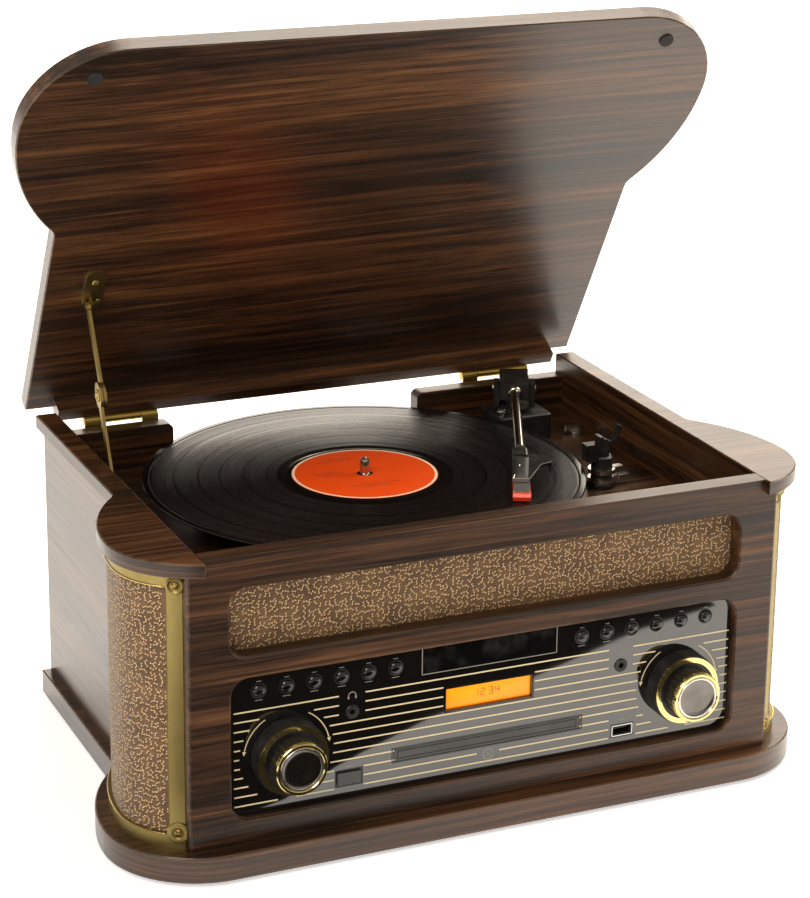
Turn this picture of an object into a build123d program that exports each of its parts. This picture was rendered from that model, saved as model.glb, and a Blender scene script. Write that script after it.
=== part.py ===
from build123d import *
from math import acos, cos, degrees, hypot, radians, sin, sqrt
import os

os.makedirs("parts", exist_ok=True)

# Retro record player in millimetres: +X right, front at -Y, +Z up.
# The origin is under the middle of the open player, on the surface it stands on.

# Overall layout
rear_y = 150.2
foot_height = 3.0
base_thickness = 17.0
cabinet_top = 211.0
rim_thickness = 9.0
panel_front = 305.5
panel_thickness = 13.5
fit_gap = 0.2

# Plan outline shared by the base, the rim boards and the lid
corner_x = 180.0
corner_depth = 254.0
rear_arc_x = 121.0
rim_corner_radius = 59.0
rim_rear_radius = 118.0
rim_half_width = 209.0
base_growth = 5.0
base_half_width = 210.0
lid_growth = 8.0
lid_half_width = 212.0
ear_blend = 9.0
edge_round = 0.8

# Side panels, rear wall and deck
side_outer = 203.5
side_thickness = 9.0
rear_thickness = 12.0
rear_block_top = 197.0
rear_cut_bottom = 178.0
rear_cut_half = 94.0
deck_top = 167.0
deck_thickness = 4.0

# Front panel and its two windows
panel_half_width = 205.0
upper_window = (355.0, 45.0, 167.0)
lower_window = (354.0, 94.0, 83.2)
upper_window_radius = 11.0
lower_window_radius = 12.0
panel_edge_round = 3.0
cloth_thickness = 1.2
baffle_thickness = 2.5

# Speaker columns at the front corners
column_corner_x = 184.0
column_corner_depth = 253.0
column_corner_radius = 50.0
column_rear_x = 99.0
column_rear_radius = 135.0
bezel_thickness = 2.0
bezel_band = 9.0
bezel_strip_x = 213.5
bezel_screw_x = 209.0
bezel_lobe_top = 6.2
bezel_lobe_bottom = 7.4
bezel_screw_inset_top = 8.0
bezel_screw_inset_bottom = 10.6
driver_depth = 236.0
driver_height = 111.0
driver_radius = 43.0
driver_basket_radius = 34.0
driver_hole_radius = 37.0

# Fascia and what it carries
fascia_recess = 6.0
fascia_face = 3.0
fascia_gap = 0.4
fascia_flange = 7.0
fascia_flange_thickness = 2.5
knob_x = 138.7
knob_height = 73.3
knob_skirt_radius = 24.0
knob_skirt_depth = 11.5
knob_barrel_radius = 17.0
knob_barrel_depth = 14.0
knob_flutes = 24
knob_gap = 0.4
shaft_radius = 3.0
running_clearance = 0.05
collar_radius = 5.5
button_first_x = 65.6
button_pitch = 18.3
button_count = 6
button_height = 118.4
button_radius = 4.0
button_proud = 1.8
button_travel = 1.0
guide_clearance = 0.1
power_x = -96.9
power_height = 48.8
power_size = (16.3, 9.2)
power_travel = 2.0
display_height = 90.0
display_size = (60.8, 15.0)
jack_x = 95.0
jack_height = 93.5
jack_radius = 3.6
usb_x = 97.6
usb_height = 46.9
usb_size = (16.5, 9.3)
slide_clearance = 0.3

# Disc drawer
tray_height = 58.0
tray_front = (132.6, 8.2)
tray_width = 126.0
tray_length = 165.0
disc_well_radius = 60.7

# Turntable
platter_x = -19.0
platter_depth = 137.0
platter_radius = 115.0
record_radius = 150.8
record_top = 188.0
record_thickness = 1.8
mat_thickness = 2.0
platter_thickness = 10.0
spindle_radius = 3.4
spindle_top = 200.0
bearing_radius = 9.0

# Tonearm
arm_pivot_x = 139.0
arm_pivot_depth = 43.0
arm_height = 203.0
arm_angle = 24.3
arm_length = 200.0
arm_tube_radius = 3.5
arm_base_size = (42.0, 35.0, 20.0)
yoke_width = 30.0
yoke_cheek = 4.0

# Arm post with its rest and levers
post_x = 147.0
post_depth = 167.0
post_radius = 7.5
post_top = 190.0
lever_reach = 21.0

# Clip that holds the parked arm
clip_width = 6.0
clip_pin_radius = 1.0
clip_open = 115.0

# Lid, hinges and stay
lid_open = 60.0
lid_thickness = 12.0
lid_closed_height = 212.5
lid_back_overhang = 3.0
hinge_behind = 7.0
hinge_height = 200.0
hinge_x = 146.0
hinge_length = 54.0
knuckle_end = 12.0
knuckle_radius = 3.0
knuckle_gap = 0.4
leaf_thickness = 1.2
pin_radius = 1.5
batten_depth = 13.0
batten_width = 9.0
bumper_x = 202.4
bumper_reach = 302.5
stay_x = 183.0
stay_reach = 104.3
stay_drop = 5.8
elbow_depth = 70.6
elbow_height = 243.4
stay_foot_depth = 99.3
stay_foot_height = 184.0
stay_bar_width = 6.0
stay_bar_thickness = 2.0

# Places worked out from the sizes above
base_top = foot_height + base_thickness
rim_bottom = cabinet_top - rim_thickness
side_inner = side_outer - side_thickness
fascia_front = panel_front - fascia_recess
panel_back = panel_front - panel_thickness
deck_bottom = deck_top - deck_thickness
platter_top = record_top - record_thickness - mat_thickness
fascia_flange_top = lower_window[2] + lower_window[1] / 2 + fascia_flange


def at_depth(depth):
    return rear_y - depth


def front_plane(depth):
    return Plane.XZ.offset(-at_depth(depth))


def side_plane(x):
    return Plane.YZ.offset(x)


def save(part, label):
    part.label = label
    export_step(part, f"parts/{label}.step")


corner_y = at_depth(corner_depth)
arm_pivot_y = at_depth(arm_pivot_depth)
platter_y = at_depth(platter_depth)
post_y = at_depth(post_depth)
hinge_y = rear_y + hinge_behind


# Plan outline: straight sides that step out to a rounded ear at each front corner
def plan_outline(growth, half_width, back_y):
    front_radius = rim_corner_radius + growth
    rear_radius = rim_rear_radius + growth
    turn = degrees(acos((half_width - rear_arc_x) / rear_radius))
    junction_y = corner_y + rear_radius * sin(radians(turn))
    with BuildSketch() as outline:
        with BuildLine():
            Line((0, back_y), (half_width, back_y))
            Line((half_width, back_y), (half_width, junction_y))
            CenterArc((rear_arc_x, corner_y), rear_radius, 0, turn)
            CenterArc((corner_x, corner_y), front_radius, -90, 90)
            Line((corner_x, corner_y - front_radius), (0, corner_y - front_radius))
            mirror(about=Plane.YZ)
        make_face()
        joints = outline.vertices().filter_by(lambda v: abs(v.Y - junction_y) < 0.01)
        fillet(joints, radius=ear_blend)
    return outline.sketch


# Base board
with BuildPart() as base_plate:
    with BuildSketch(Plane.XY.offset(foot_height)):
        add(plan_outline(base_growth, base_half_width, rear_y))
    extrude(amount=base_thickness)
    chamfer(base_plate.edges().group_by(Axis.Z)[-1], length=edge_round)
    with Locations(*[(sx * 170, sy, foot_height) for sx in (-1, 1) for sy in (110, -120)]):
        Cylinder(10.2, 1.0, align=(Align.CENTER, Align.CENTER, Align.MIN), mode=Mode.SUBTRACT)
save(base_plate.part, "base_plate")

# Four rubber feet let into the base
with BuildPart() as feet:
    with Locations(*[(sx * 170, sy, 0) for sx in (-1, 1) for sy in (110, -120)]):
        Cylinder(10, foot_height + 1.0, align=(Align.CENTER, Align.CENTER, Align.MIN))
    chamfer(feet.edges().group_by(Axis.Z)[0], length=0.8)
save(feet.part, "feet")


# Side panels, with a hole behind each column for the driver
with BuildPart() as side_panels:
    with BuildSketch(Plane.XY.offset(base_top)):
        with Locations((0, at_depth(panel_back / 2))):
            with GridLocations(2 * side_inner + side_thickness, 0, 2, 1):
                Rectangle(side_thickness, panel_back)
    extrude(amount=rim_bottom - base_top)
    with BuildSketch(side_plane(0)):
        with Locations((at_depth(driver_depth), driver_height)):
            Circle(driver_hole_radius)
    extrude(amount=side_outer, both=True, mode=Mode.SUBTRACT)
save(side_panels.part, "side_panels")

# Rim boards with their ears, on top of the side panels
with BuildPart() as rim_boards:
    with BuildSketch(Plane.XY.offset(rim_bottom)):
        add(plan_outline(0, rim_half_width, rear_y))
        Rectangle(2 * side_inner, 800, mode=Mode.SUBTRACT)
    extrude(amount=rim_thickness)
    chamfer(rim_boards.edges().group_by(Axis.Z)[-1], length=edge_round)
save(rim_boards.part, "rim_boards")

# Rear wall, cut down in the middle where a large record passes over it
with BuildPart() as rear_wall:
    wall_half = side_inner - fit_gap
    with BuildSketch(front_plane(0)):
        with Locations((0, (base_top + rear_block_top) / 2)):
            Rectangle(2 * wall_half, rear_block_top - base_top)
        with Locations((platter_x, (rear_block_top + rear_cut_bottom) / 2)):
            Rectangle(2 * rear_cut_half, rear_block_top - rear_cut_bottom, mode=Mode.SUBTRACT)
    extrude(amount=rear_thickness)
    upright = rear_wall.edges().filter_by(Axis.Y)
    fillet(upright.filter_by(lambda e: abs(abs(e.center().X - platter_x) - rear_cut_half) < 0.1), radius=5)
    with BuildSketch(front_plane(0)):
        with GridLocations(12, 0, 10, 1):
            with Locations((-60, 120)):
                SlotOverall(34, 3.2, rotation=90)
    extrude(amount=rear_thickness, mode=Mode.SUBTRACT)
    with BuildSketch(front_plane(-lid_back_overhang)):
        with Locations(*[(s * hinge_x, (hinge_height + 178) / 2 - 2.5) for s in (-1, 1)]):
            Rectangle(hinge_length, 17)
    extrude(amount=lid_back_overhang)
    with BuildSketch(front_plane(0)):
        with Locations((110, 60)):
            Rectangle(64, 26)
    extrude(amount=rear_thickness, mode=Mode.SUBTRACT)
save(rear_wall.part, "rear_wall")

# Socket plate at the rear: a two-pin inlet and a pair of line sockets
with BuildPart() as rear_sockets:
    with BuildSketch(front_plane(-2)):
        with Locations((110, 60)):
            RectangleRounded(72, 34, 3)
    extrude(amount=2)
    with BuildSketch(front_plane(0)):
        with Locations((110, 60)):
            RectangleRounded(63.4, 25.4, 1)
    extrude(amount=10)
    with BuildSketch(front_plane(-2)):
        with Locations((90, 60)):
            SlotOverall(15, 8)
    extrude(amount=9, mode=Mode.SUBTRACT)
    with BuildSketch(front_plane(-2)):
        with Locations((116, 60), (134, 60)):
            Circle(5.2)
            Circle(3.6, mode=Mode.SUBTRACT)
    extrude(amount=-7)
    with BuildSketch(front_plane(7)):
        with Locations((86.5, 60), (93.5, 60)):
            Circle(1.1)
    extrude(amount=-7)
save(rear_sockets.part, "rear_sockets")

# Front panel with an upper grille window and a lower control window
with BuildPart() as front_panel:
    panel_mid = (base_top + cabinet_top) / 2
    with BuildSketch(front_plane(panel_back)):
        with Locations((0, panel_mid)):
            Rectangle(2 * panel_half_width, cabinet_top - base_top)
        notch = panel_half_width - side_inner
        with Locations(*[(s * (side_inner + notch / 2), cabinet_top - rim_thickness / 2) for s in (-1, 1)]):
            Rectangle(notch + 0.01, rim_thickness, mode=Mode.SUBTRACT)
    extrude(amount=panel_thickness)
    tall = front_panel.edges().filter_by(Axis.Z).filter_by(lambda e: e.length > 100)
    fillet(tall.group_by(Axis.Y)[0], radius=panel_edge_round)
    with BuildSketch(front_plane(panel_back)):
        with Locations((0, upper_window[2])):
            RectangleRounded(upper_window[0], upper_window[1], upper_window_radius)
        with Locations((0, lower_window[2])):
            RectangleRounded(lower_window[0], lower_window[1], lower_window_radius)
    extrude(amount=panel_thickness, mode=Mode.SUBTRACT)
    window_rims = front_panel.faces().sort_by(Axis.Y)[0].inner_wires()
    chamfer([edge for wire in window_rims for edge in wire.edges()], length=1.2)
save(front_panel.part, "front_panel")

# Deck that carries the turntable, with the platter bearing in one piece
with BuildPart() as deck_plate:
    deck_half = side_inner - fit_gap
    deck_front = panel_back - cloth_thickness - baffle_thickness - fit_gap
    deck_rear = rear_thickness + fit_gap
    with BuildSketch(Plane.XY.offset(deck_bottom)):
        with Locations((0, at_depth((deck_front + deck_rear) / 2))):
            Rectangle(2 * deck_half, deck_front - deck_rear)
    extrude(amount=deck_thickness)
    with BuildSketch(Plane.XY.offset(deck_bottom - 14)):
        with Locations((platter_x, platter_y)):
            Circle(bearing_radius)
    extrude(amount=deck_thickness + 16)
    with BuildSketch(Plane.XY.offset(deck_bottom - 12)):
        with Locations((platter_x, platter_y)):
            Circle(4 + running_clearance)
    extrude(amount=30, mode=Mode.SUBTRACT)
    with BuildSketch(Plane.XY.offset(deck_bottom)):
        with Locations((arm_pivot_x, arm_pivot_y), (post_x, post_y)):
            Circle(5)
    extrude(amount=deck_thickness, mode=Mode.SUBTRACT)
    with BuildSketch(Plane.XY.offset(deck_bottom - 10)):
        with Locations((0, at_depth((deck_front + deck_rear) / 2))):
            Rectangle(2 * deck_half, deck_front - deck_rear)
            Rectangle(2 * deck_half - 12, deck_front - deck_rear - 12, mode=Mode.SUBTRACT)
    extrude(amount=10)
save(deck_plate.part, "deck_plate")


# Column skin: the quarter round of a corner column at a given inset from its face
def column_region(side, inset):
    front_radius = column_corner_radius - inset
    rear_radius = column_rear_radius - inset
    centre_y = at_depth(column_corner_depth)
    front_x = panel_half_width + fit_gap
    rear_x = side_outer + fit_gap
    front_turn = degrees(acos((front_x - column_corner_x) / front_radius))
    rear_turn = degrees(acos((rear_x - column_rear_x) / rear_radius))
    start = (front_x, centre_y - front_radius * sin(radians(front_turn)))
    end = (rear_x, centre_y + rear_radius * sin(radians(rear_turn)))
    with BuildSketch() as region:
        with BuildLine():
            CenterArc((column_corner_x, centre_y), front_radius, -front_turn, front_turn)
            CenterArc((column_rear_x, centre_y), rear_radius, 0, rear_turn)
            Line(end, (rear_x, centre_y))
            Line((rear_x, centre_y), (front_x, centre_y - 8))
            Line((front_x, centre_y - 8), start)
        make_face()
    if side < 0:
        return region.sketch.mirror(Plane.YZ)
    return region.sketch


def column_skin(side, inset, thickness, low, high):
    with BuildPart() as skin:
        with BuildSketch(Plane.XY.offset(low)):
            add(column_region(side, inset))
            add(column_region(side, inset + thickness), mode=Mode.SUBTRACT)
        extrude(amount=high - low)
    return skin.part


# Screw places on the bezel's front strip, where the skin faces outwards and forwards
def bezel_screw_plane(side, height, inset):
    reach = bezel_screw_x - column_corner_x
    drop = sqrt((column_corner_radius - inset) ** 2 - reach ** 2)
    origin = (side * bezel_screw_x, at_depth(column_corner_depth) - drop, height)
    return Plane(origin=origin, z_dir=(side * reach, -drop, 0))


screw_top = rim_bottom - bezel_screw_inset_top
screw_bottom = base_top + bezel_screw_inset_bottom


def column_bezel(side):
    with BuildPart() as opening:
        with BuildSketch(side_plane(side * bezel_strip_x)):
            with Locations((at_depth(column_corner_depth), (base_top + rim_bottom) / 2)):
                Rectangle(180, rim_bottom - base_top - 2 * bezel_band)
        extrude(amount=side * 40)
        for height, lobe in ((screw_top, bezel_lobe_top), (screw_bottom, bezel_lobe_bottom)):
            with BuildSketch(bezel_screw_plane(side, height, 0)):
                Circle(lobe)
            extrude(amount=8, both=True, mode=Mode.SUBTRACT)
    with BuildPart() as bezel:
        add(column_skin(side, 0, bezel_thickness, base_top, rim_bottom))
        add(opening.part, mode=Mode.SUBTRACT)
        for height in (screw_top, screw_bottom):
            with BuildSketch(bezel_screw_plane(side, height, 0)):
                Circle(2.2)
            extrude(amount=-6, mode=Mode.SUBTRACT)
    return bezel.part


save(column_bezel(-1), "column_bezel_left")
save(column_bezel(1), "column_bezel_right")

# Grille cloth: one piece on each column and one behind the upper window
with BuildPart() as grille_cloths:
    cloth_inset = bezel_thickness + fit_gap
    for side in (-1, 1):
        add(column_skin(side, cloth_inset, cloth_thickness, base_top, rim_bottom))
    with BuildSketch(front_plane(panel_back)):
        with Locations((0, upper_window[2])):
            RectangleRounded(upper_window[0] + 16, upper_window[1] + 14, upper_window_radius)
    extrude(amount=-cloth_thickness)
save(grille_cloths.part, "grille_cloths")

# Board behind the upper cloth, in front of the deck
with BuildPart() as grille_baffle:
    with BuildSketch(front_plane(panel_back - cloth_thickness)):
        with Locations((0, (upper_window[2] + 30 + fascia_flange_top) / 2)):
            Rectangle(upper_window[0] + 20, upper_window[2] + 30 - fascia_flange_top)
    extrude(amount=-baffle_thickness)
save(grille_baffle.part, "grille_baffle")

# Loudspeaker drivers on the side panels, inside the columns
with BuildPart() as column_speakers:
    for side in (-1, 1):
        centre = (at_depth(driver_depth), driver_height)
        with BuildSketch(side_plane(side * side_outer)):
            with Locations(centre):
                Circle(driver_radius)
                Circle(driver_basket_radius - 2, mode=Mode.SUBTRACT)
        extrude(amount=side * 2.5)
        with BuildSketch(side_plane(side * side_outer)):
            with Locations(centre):
                Circle(driver_basket_radius)
        extrude(amount=-side * 16, taper=24)
        with BuildSketch(side_plane(side * (side_outer + 2.5))):
            with Locations(centre):
                Circle(driver_basket_radius - 2)
        extrude(amount=-side * 14, taper=30, mode=Mode.SUBTRACT)
        with BuildSketch(side_plane(side * (side_outer - 16))):
            with Locations(centre):
                Circle(21)
        extrude(amount=-side * 12)
        with BuildSketch(side_plane(side * (side_outer - 12))):
            with Locations(centre):
                Circle(11)
        extrude(amount=side * 5, taper=18)
save(column_speakers.part, "column_speakers")

# Fascia: a glossy moulding set back in the lower window, flanged behind the panel
window_width, window_height, window_mid = lower_window
button_places = [
    (side * (button_first_x + step * button_pitch), button_height)
    for side in (-1, 1)
    for step in range(button_count)
]
knob_places = [(-knob_x, knob_height), (knob_x, knob_height)]
jack_places = [(-jack_x, jack_height), (jack_x, jack_height)]
with BuildPart() as fascia:
    body_depth = fascia_front - panel_back + fascia_flange_thickness
    with BuildSketch(front_plane(panel_back - fascia_flange_thickness)):
        with Locations((0, window_mid)):
            plug = (window_width - 2 * fascia_gap, window_height - 2 * fascia_gap)
            RectangleRounded(*plug, lower_window_radius - fascia_gap)
    extrude(amount=body_depth)
    with BuildSketch(front_plane(panel_back - fascia_flange_thickness)):
        with Locations((0, window_mid)):
            flange = (window_width + 2 * fascia_flange, window_height + 2 * fascia_flange)
            RectangleRounded(*flange, lower_window_radius)
    extrude(amount=fascia_flange_thickness)
    with BuildSketch(front_plane(panel_back - fascia_flange_thickness)):
        with Locations((0, window_mid)):
            RectangleRounded(window_width - 8, window_height - 8, lower_window_radius - 4)
    extrude(amount=body_depth - fascia_face, mode=Mode.SUBTRACT)
    with BuildSketch(front_plane(fascia_front)):
        with Locations(*button_places):
            Circle(button_radius + guide_clearance)
        with Locations(*jack_places):
            Circle(jack_radius + guide_clearance)
        with Locations((power_x, power_height)):
            Rectangle(power_size[0] + 2 * guide_clearance, power_size[1] + 2 * guide_clearance)
        with Locations((usb_x, usb_height)):
            Rectangle(usb_size[0] + 2 * guide_clearance, usb_size[1] + 2 * guide_clearance)
        with Locations((0, display_height)):
            Rectangle(*display_size)
        with Locations((0, tray_height)):
            Rectangle(tray_front[0] + 2 * slide_clearance, tray_front[1] + 2 * slide_clearance)
    extrude(amount=-body_depth, mode=Mode.SUBTRACT)
    with BuildSketch(front_plane(fascia_front)):
        with Locations(*knob_places):
            Circle(collar_radius)
    extrude(amount=-body_depth - 4)
    with BuildSketch(front_plane(fascia_front)):
        with Locations(*knob_places):
            Circle(shaft_radius + running_clearance)
    extrude(amount=-body_depth - 4, mode=Mode.SUBTRACT)
save(fascia.part, "fascia")

# Display module behind its cut-out
with BuildPart() as display:
    with BuildSketch(front_plane(fascia_front - fascia_face)):
        with Locations((0, display_height)):
            RectangleRounded(display_size[0] + 8, display_size[1] + 6, 1)
    extrude(amount=-4)
    with BuildSketch(front_plane(fascia_front - fascia_face - 4)):
        with Locations((0, display_height)):
            Rectangle(display_size[0] + 14, display_size[1] + 5)
    extrude(amount=-1.6)
save(display.part, "display")

# Sockets in the fascia: two round jacks and one flat data port
with BuildPart() as front_sockets:
    with BuildSketch(front_plane(fascia_front + 0.8)):
        with Locations(*jack_places):
            Circle(jack_radius)
    extrude(amount=-12)
    with BuildSketch(front_plane(fascia_front - fascia_face)):
        with Locations(*jack_places):
            Rectangle(10, 10)
    extrude(amount=-11)
    with BuildSketch(front_plane(fascia_front + 0.8)):
        with Locations(*jack_places):
            Circle(1.8)
    extrude(amount=-11, mode=Mode.SUBTRACT)
    with BuildSketch(front_plane(fascia_front)):
        with Locations((usb_x, usb_height)):
            Rectangle(*usb_size)
    extrude(amount=-16)
    with BuildSketch(front_plane(fascia_front)):
        with Locations((usb_x, usb_height)):
            Rectangle(12.6, 5.4)
    extrude(amount=-14, mode=Mode.SUBTRACT)
    with BuildSketch(front_plane(fascia_front - 14)):
        with Locations((usb_x, usb_height + 1)):
            Rectangle(11, 1.8)
    extrude(amount=11)
save(front_sockets.part, "front_sockets")


# Push buttons: a round cap, a flange behind the fascia and a stem
def push_button(place):
    back_of_face = fascia_front - fascia_face
    with BuildPart() as button:
        with BuildSketch(front_plane(back_of_face - 0.2)):
            with Locations(place):
                Circle(button_radius)
        extrude(amount=fascia_face + 0.2 + button_proud)
        chamfer(button.edges().group_by(Axis.Y)[0], length=0.6)
        with BuildSketch(front_plane(back_of_face - 0.2)):
            with Locations(place):
                Circle(button_radius + 1)
        extrude(amount=-1)
        with BuildSketch(front_plane(back_of_face - 1.2)):
            with Locations(place):
                Circle(1.5)
        extrude(amount=-2)
    return button.part


for number, place in enumerate(button_places, start=1):
    save(push_button(place), f"button_{number:02d}")

# Power button
with BuildPart() as power_button:
    with BuildSketch(front_plane(fascia_front - fascia_face - 0.2)):
        with Locations((power_x, power_height)):
            RectangleRounded(*power_size, 0.6)
    extrude(amount=fascia_face + 0.2 + 1.5)
    chamfer(power_button.edges().group_by(Axis.Y)[0], length=0.5)
    with BuildSketch(front_plane(fascia_front - fascia_face - 0.2)):
        with Locations((power_x, power_height)):
            Rectangle(power_size[0] + 2, power_size[1] + 2)
    extrude(amount=-1.2)
save(power_button.part, "power_button")


# Rotary knobs: a tapered skirt, a fluted barrel and a shaft, with two metal rings
skirt_front = fascia_front + knob_gap + knob_skirt_depth
barrel_front = skirt_front + knob_barrel_depth


def knob(place):
    with BuildPart() as body:
        with BuildSketch(front_plane(fascia_front + knob_gap)):
            with Locations(place):
                Circle(knob_skirt_radius)
        extrude(amount=knob_skirt_depth, taper=3)
        with BuildSketch(front_plane(skirt_front)):
            with Locations(place):
                Circle(knob_barrel_radius)
        extrude(amount=knob_barrel_depth)
        with BuildSketch(front_plane(skirt_front + 1.5)):
            with Locations(place):
                with PolarLocations(knob_barrel_radius + 0.5, knob_flutes):
                    Circle(1.1)
        extrude(amount=knob_barrel_depth - 3.5, mode=Mode.SUBTRACT)
        with BuildSketch(front_plane(skirt_front)):
            with Locations(place):
                Circle(knob_skirt_radius - 0.9)
                Circle(knob_skirt_radius - 4.4, mode=Mode.SUBTRACT)
        extrude(amount=-1.5, mode=Mode.SUBTRACT)
        with BuildSketch(front_plane(barrel_front)):
            with Locations(place):
                Circle(knob_barrel_radius + 0.5)
                Circle(knob_barrel_radius - 2.6, mode=Mode.SUBTRACT)
        extrude(amount=-2.5, mode=Mode.SUBTRACT)
        with BuildSketch(front_plane(fascia_front + knob_gap)):
            with Locations(place):
                Circle(shaft_radius)
        extrude(amount=-body_depth - 3)
    return body.part


def knob_rings(place):
    rear_ring = (skirt_front - 1.5, knob_skirt_radius - 0.9, 3.5, 2.5)
    front_ring = (barrel_front - 2.5, knob_barrel_radius, 2.6, 3.3)
    with BuildPart() as rings:
        for depth, outer, width, thickness in (rear_ring, front_ring):
            with BuildSketch(front_plane(depth)):
                with Locations(place):
                    Circle(outer)
                    Circle(outer - width, mode=Mode.SUBTRACT)
            extrude(amount=thickness)
        chamfer(rings.faces().sort_by(Axis.Y)[0].edges(), length=0.6)
    return rings.part


save(knob(knob_places[0]), "volume_knob")
save(knob_rings(knob_places[0]), "volume_rings")
save(knob(knob_places[1]), "tuning_knob")
save(knob_rings(knob_places[1]), "tuning_rings")

# Disc drawer with its round well
with BuildPart() as disc_tray:
    tray_back = fascia_front - tray_length
    tray_plate = 5.0
    with BuildSketch(front_plane(fascia_front - 3)):
        with Locations((0, tray_height)):
            RectangleRounded(*tray_front, 0.6)
    extrude(amount=3)
    with BuildSketch(front_plane(tray_back)):
        with Locations((0, tray_height - 1)):
            Rectangle(tray_width, tray_plate)
    extrude(amount=tray_length - 3)
    well_centre = (0, at_depth(fascia_front - 3 - 65))
    with BuildSketch(Plane.XY.offset(tray_height - 1 + tray_plate / 2)):
        with Locations(well_centre):
            Circle(disc_well_radius)
    extrude(amount=-2, mode=Mode.SUBTRACT)
    with BuildSketch(Plane.XY.offset(tray_height - 1 + tray_plate / 2 - 2)):
        with Locations(well_centre):
            Circle(19)
        with Locations((0, well_centre[1] + 38)):
            Rectangle(38, 60)
    extrude(amount=-tray_plate, mode=Mode.SUBTRACT)
save(disc_tray.part, "disc_tray")

# Loader that the drawer runs in, on four legs
with BuildPart() as disc_loader:
    loader_front = panel_back - fascia_flange_thickness - 3
    loader_length = 170.0
    loader_half = tray_width / 2 + slide_clearance
    loader_mid_y = at_depth(loader_front - loader_length / 2)
    floor_top = tray_height - 1 - tray_plate / 2 - slide_clearance
    with BuildSketch(Plane.XY.offset(floor_top - 2)):
        with Locations((0, loader_mid_y)):
            Rectangle(2 * loader_half + 8, loader_length)
    extrude(amount=2)
    for side in (-1, 1):
        with BuildSketch(Plane.XY.offset(floor_top)):
            with Locations((side * (loader_half + 2), loader_mid_y)):
                Rectangle(4, loader_length)
        extrude(amount=tray_plate + 2 * slide_clearance + 2)
        with BuildSketch(Plane.XY.offset(floor_top + tray_plate + 2 * slide_clearance)):
            with Locations((side * (loader_half - 1), loader_mid_y)):
                Rectangle(10, loader_length)
        extrude(amount=2)
    with BuildSketch(Plane.XY.offset(base_top)):
        with Locations((0, loader_mid_y)):
            with GridLocations(2 * loader_half - 4, loader_length - 20, 2, 2):
                Circle(4)
    extrude(amount=floor_top - 2 - base_top)
save(disc_loader.part, "disc_loader")

# Platter with its shaft and spindle
with BuildPart() as platter:
    rim_low = platter_top - platter_thickness
    with BuildSketch(Plane.XZ.offset(-platter_y)) as platter_half:
        with BuildLine():
            Polyline(
                (platter_x, deck_bottom - 10),
                (platter_x + 4, deck_bottom - 10),
                (platter_x + 4, deck_top + 3),
                (platter_x + 12, deck_top + 3),
                (platter_x + 14, platter_top - 4),
                (platter_x + platter_radius - 9, platter_top - 4),
                (platter_x + platter_radius - 5, rim_low),
                (platter_x + platter_radius - 1, rim_low),
                (platter_x + platter_radius, rim_low + 1.5),
                (platter_x + platter_radius, platter_top - 0.8),
                (platter_x + platter_radius - 0.8, platter_top),
                (platter_x + spindle_radius, platter_top),
                (platter_x + spindle_radius, spindle_top - 4),
                (platter_x + spindle_radius - 0.8, spindle_top - 1.5),
                (platter_x + 0.8, spindle_top),
                (platter_x, spindle_top),
                close=True,
            )
        make_face()
    revolve(axis=Axis((platter_x, platter_y, 0), (0, 0, 1)))
save(platter.part, "platter")

# Ribbed mat
with BuildPart() as mat:
    with BuildSketch(Plane.XY.offset(platter_top)):
        with Locations((platter_x, platter_y)):
            Circle(platter_radius - 3)
            Circle(spindle_radius + 0.2, mode=Mode.SUBTRACT)
    extrude(amount=mat_thickness)
save(mat.part, "mat")

# Record: raised label area and outer bead, with the playing band between them
with BuildPart() as record:
    record_low = record_top - record_thickness
    with BuildSketch(Plane.XZ.offset(-platter_y)):
        with BuildLine():
            Polyline(
                (platter_x + spindle_radius + 0.2, record_low),
                (platter_x + record_radius - 0.6, record_low),
                (platter_x + record_radius, record_low + 0.6),
                (platter_x + record_radius, record_top - 0.6),
                (platter_x + record_radius - 0.6, record_top),
                (platter_x + record_radius - 4, record_top),
                (platter_x + record_radius - 5, record_top - 0.3),
                (platter_x + 54, record_top - 0.3),
                (platter_x + 52, record_top),
                (platter_x + spindle_radius + 0.2, record_top),
                close=True,
            )
        make_face()
    revolve(axis=Axis((platter_x, platter_y, 0), (0, 0, 1)))
save(record.part, "record")


# Tonearm frame: x along the arm towards the stylus, z up, origin on the pivot
arm_dir = Vector(-sin(radians(arm_angle)), -cos(radians(arm_angle)), 0)
arm_side = Vector(-arm_dir.Y, arm_dir.X, 0)
arm_origin = Vector(arm_pivot_x, arm_pivot_y, arm_height)


def arm_plan(height):
    return Plane(origin=arm_origin + Vector(0, 0, height), x_dir=arm_dir, z_dir=(0, 0, 1))


def arm_section(reach):
    return Plane(origin=arm_origin + arm_dir * reach, x_dir=arm_side, z_dir=arm_dir)


def arm_profile(offset):
    return Plane(origin=arm_origin + arm_side * offset, x_dir=arm_dir, z_dir=arm_side * -1)


turret_low = deck_top + arm_base_size[2] + 0.3
cradle_top = arm_height - arm_tube_radius - 0.4
cradle_wall_x = arm_pivot_x + arm_tube_radius + 3.2
clip_x = cradle_wall_x + clip_pin_radius + 0.9
clip_z = cradle_top + 1.5
cheek_half = yoke_width / 2

# Fixed base under the arm
with BuildPart() as arm_base:
    with BuildSketch(Plane.XY.offset(deck_top)):
        with Locations((arm_pivot_x + 1, arm_pivot_y - 2)):
            RectangleRounded(arm_base_size[0], arm_base_size[1], 3)
    extrude(amount=arm_base_size[2])
    chamfer(arm_base.edges().group_by(Axis.Z)[-1], length=1.2)
    with BuildSketch(Plane.XY.offset(deck_top)):
        with Locations((arm_pivot_x, arm_pivot_y)):
            Circle(4 + running_clearance)
    extrude(amount=arm_base_size[2], mode=Mode.SUBTRACT)
save(arm_base.part, "arm_base")

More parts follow.
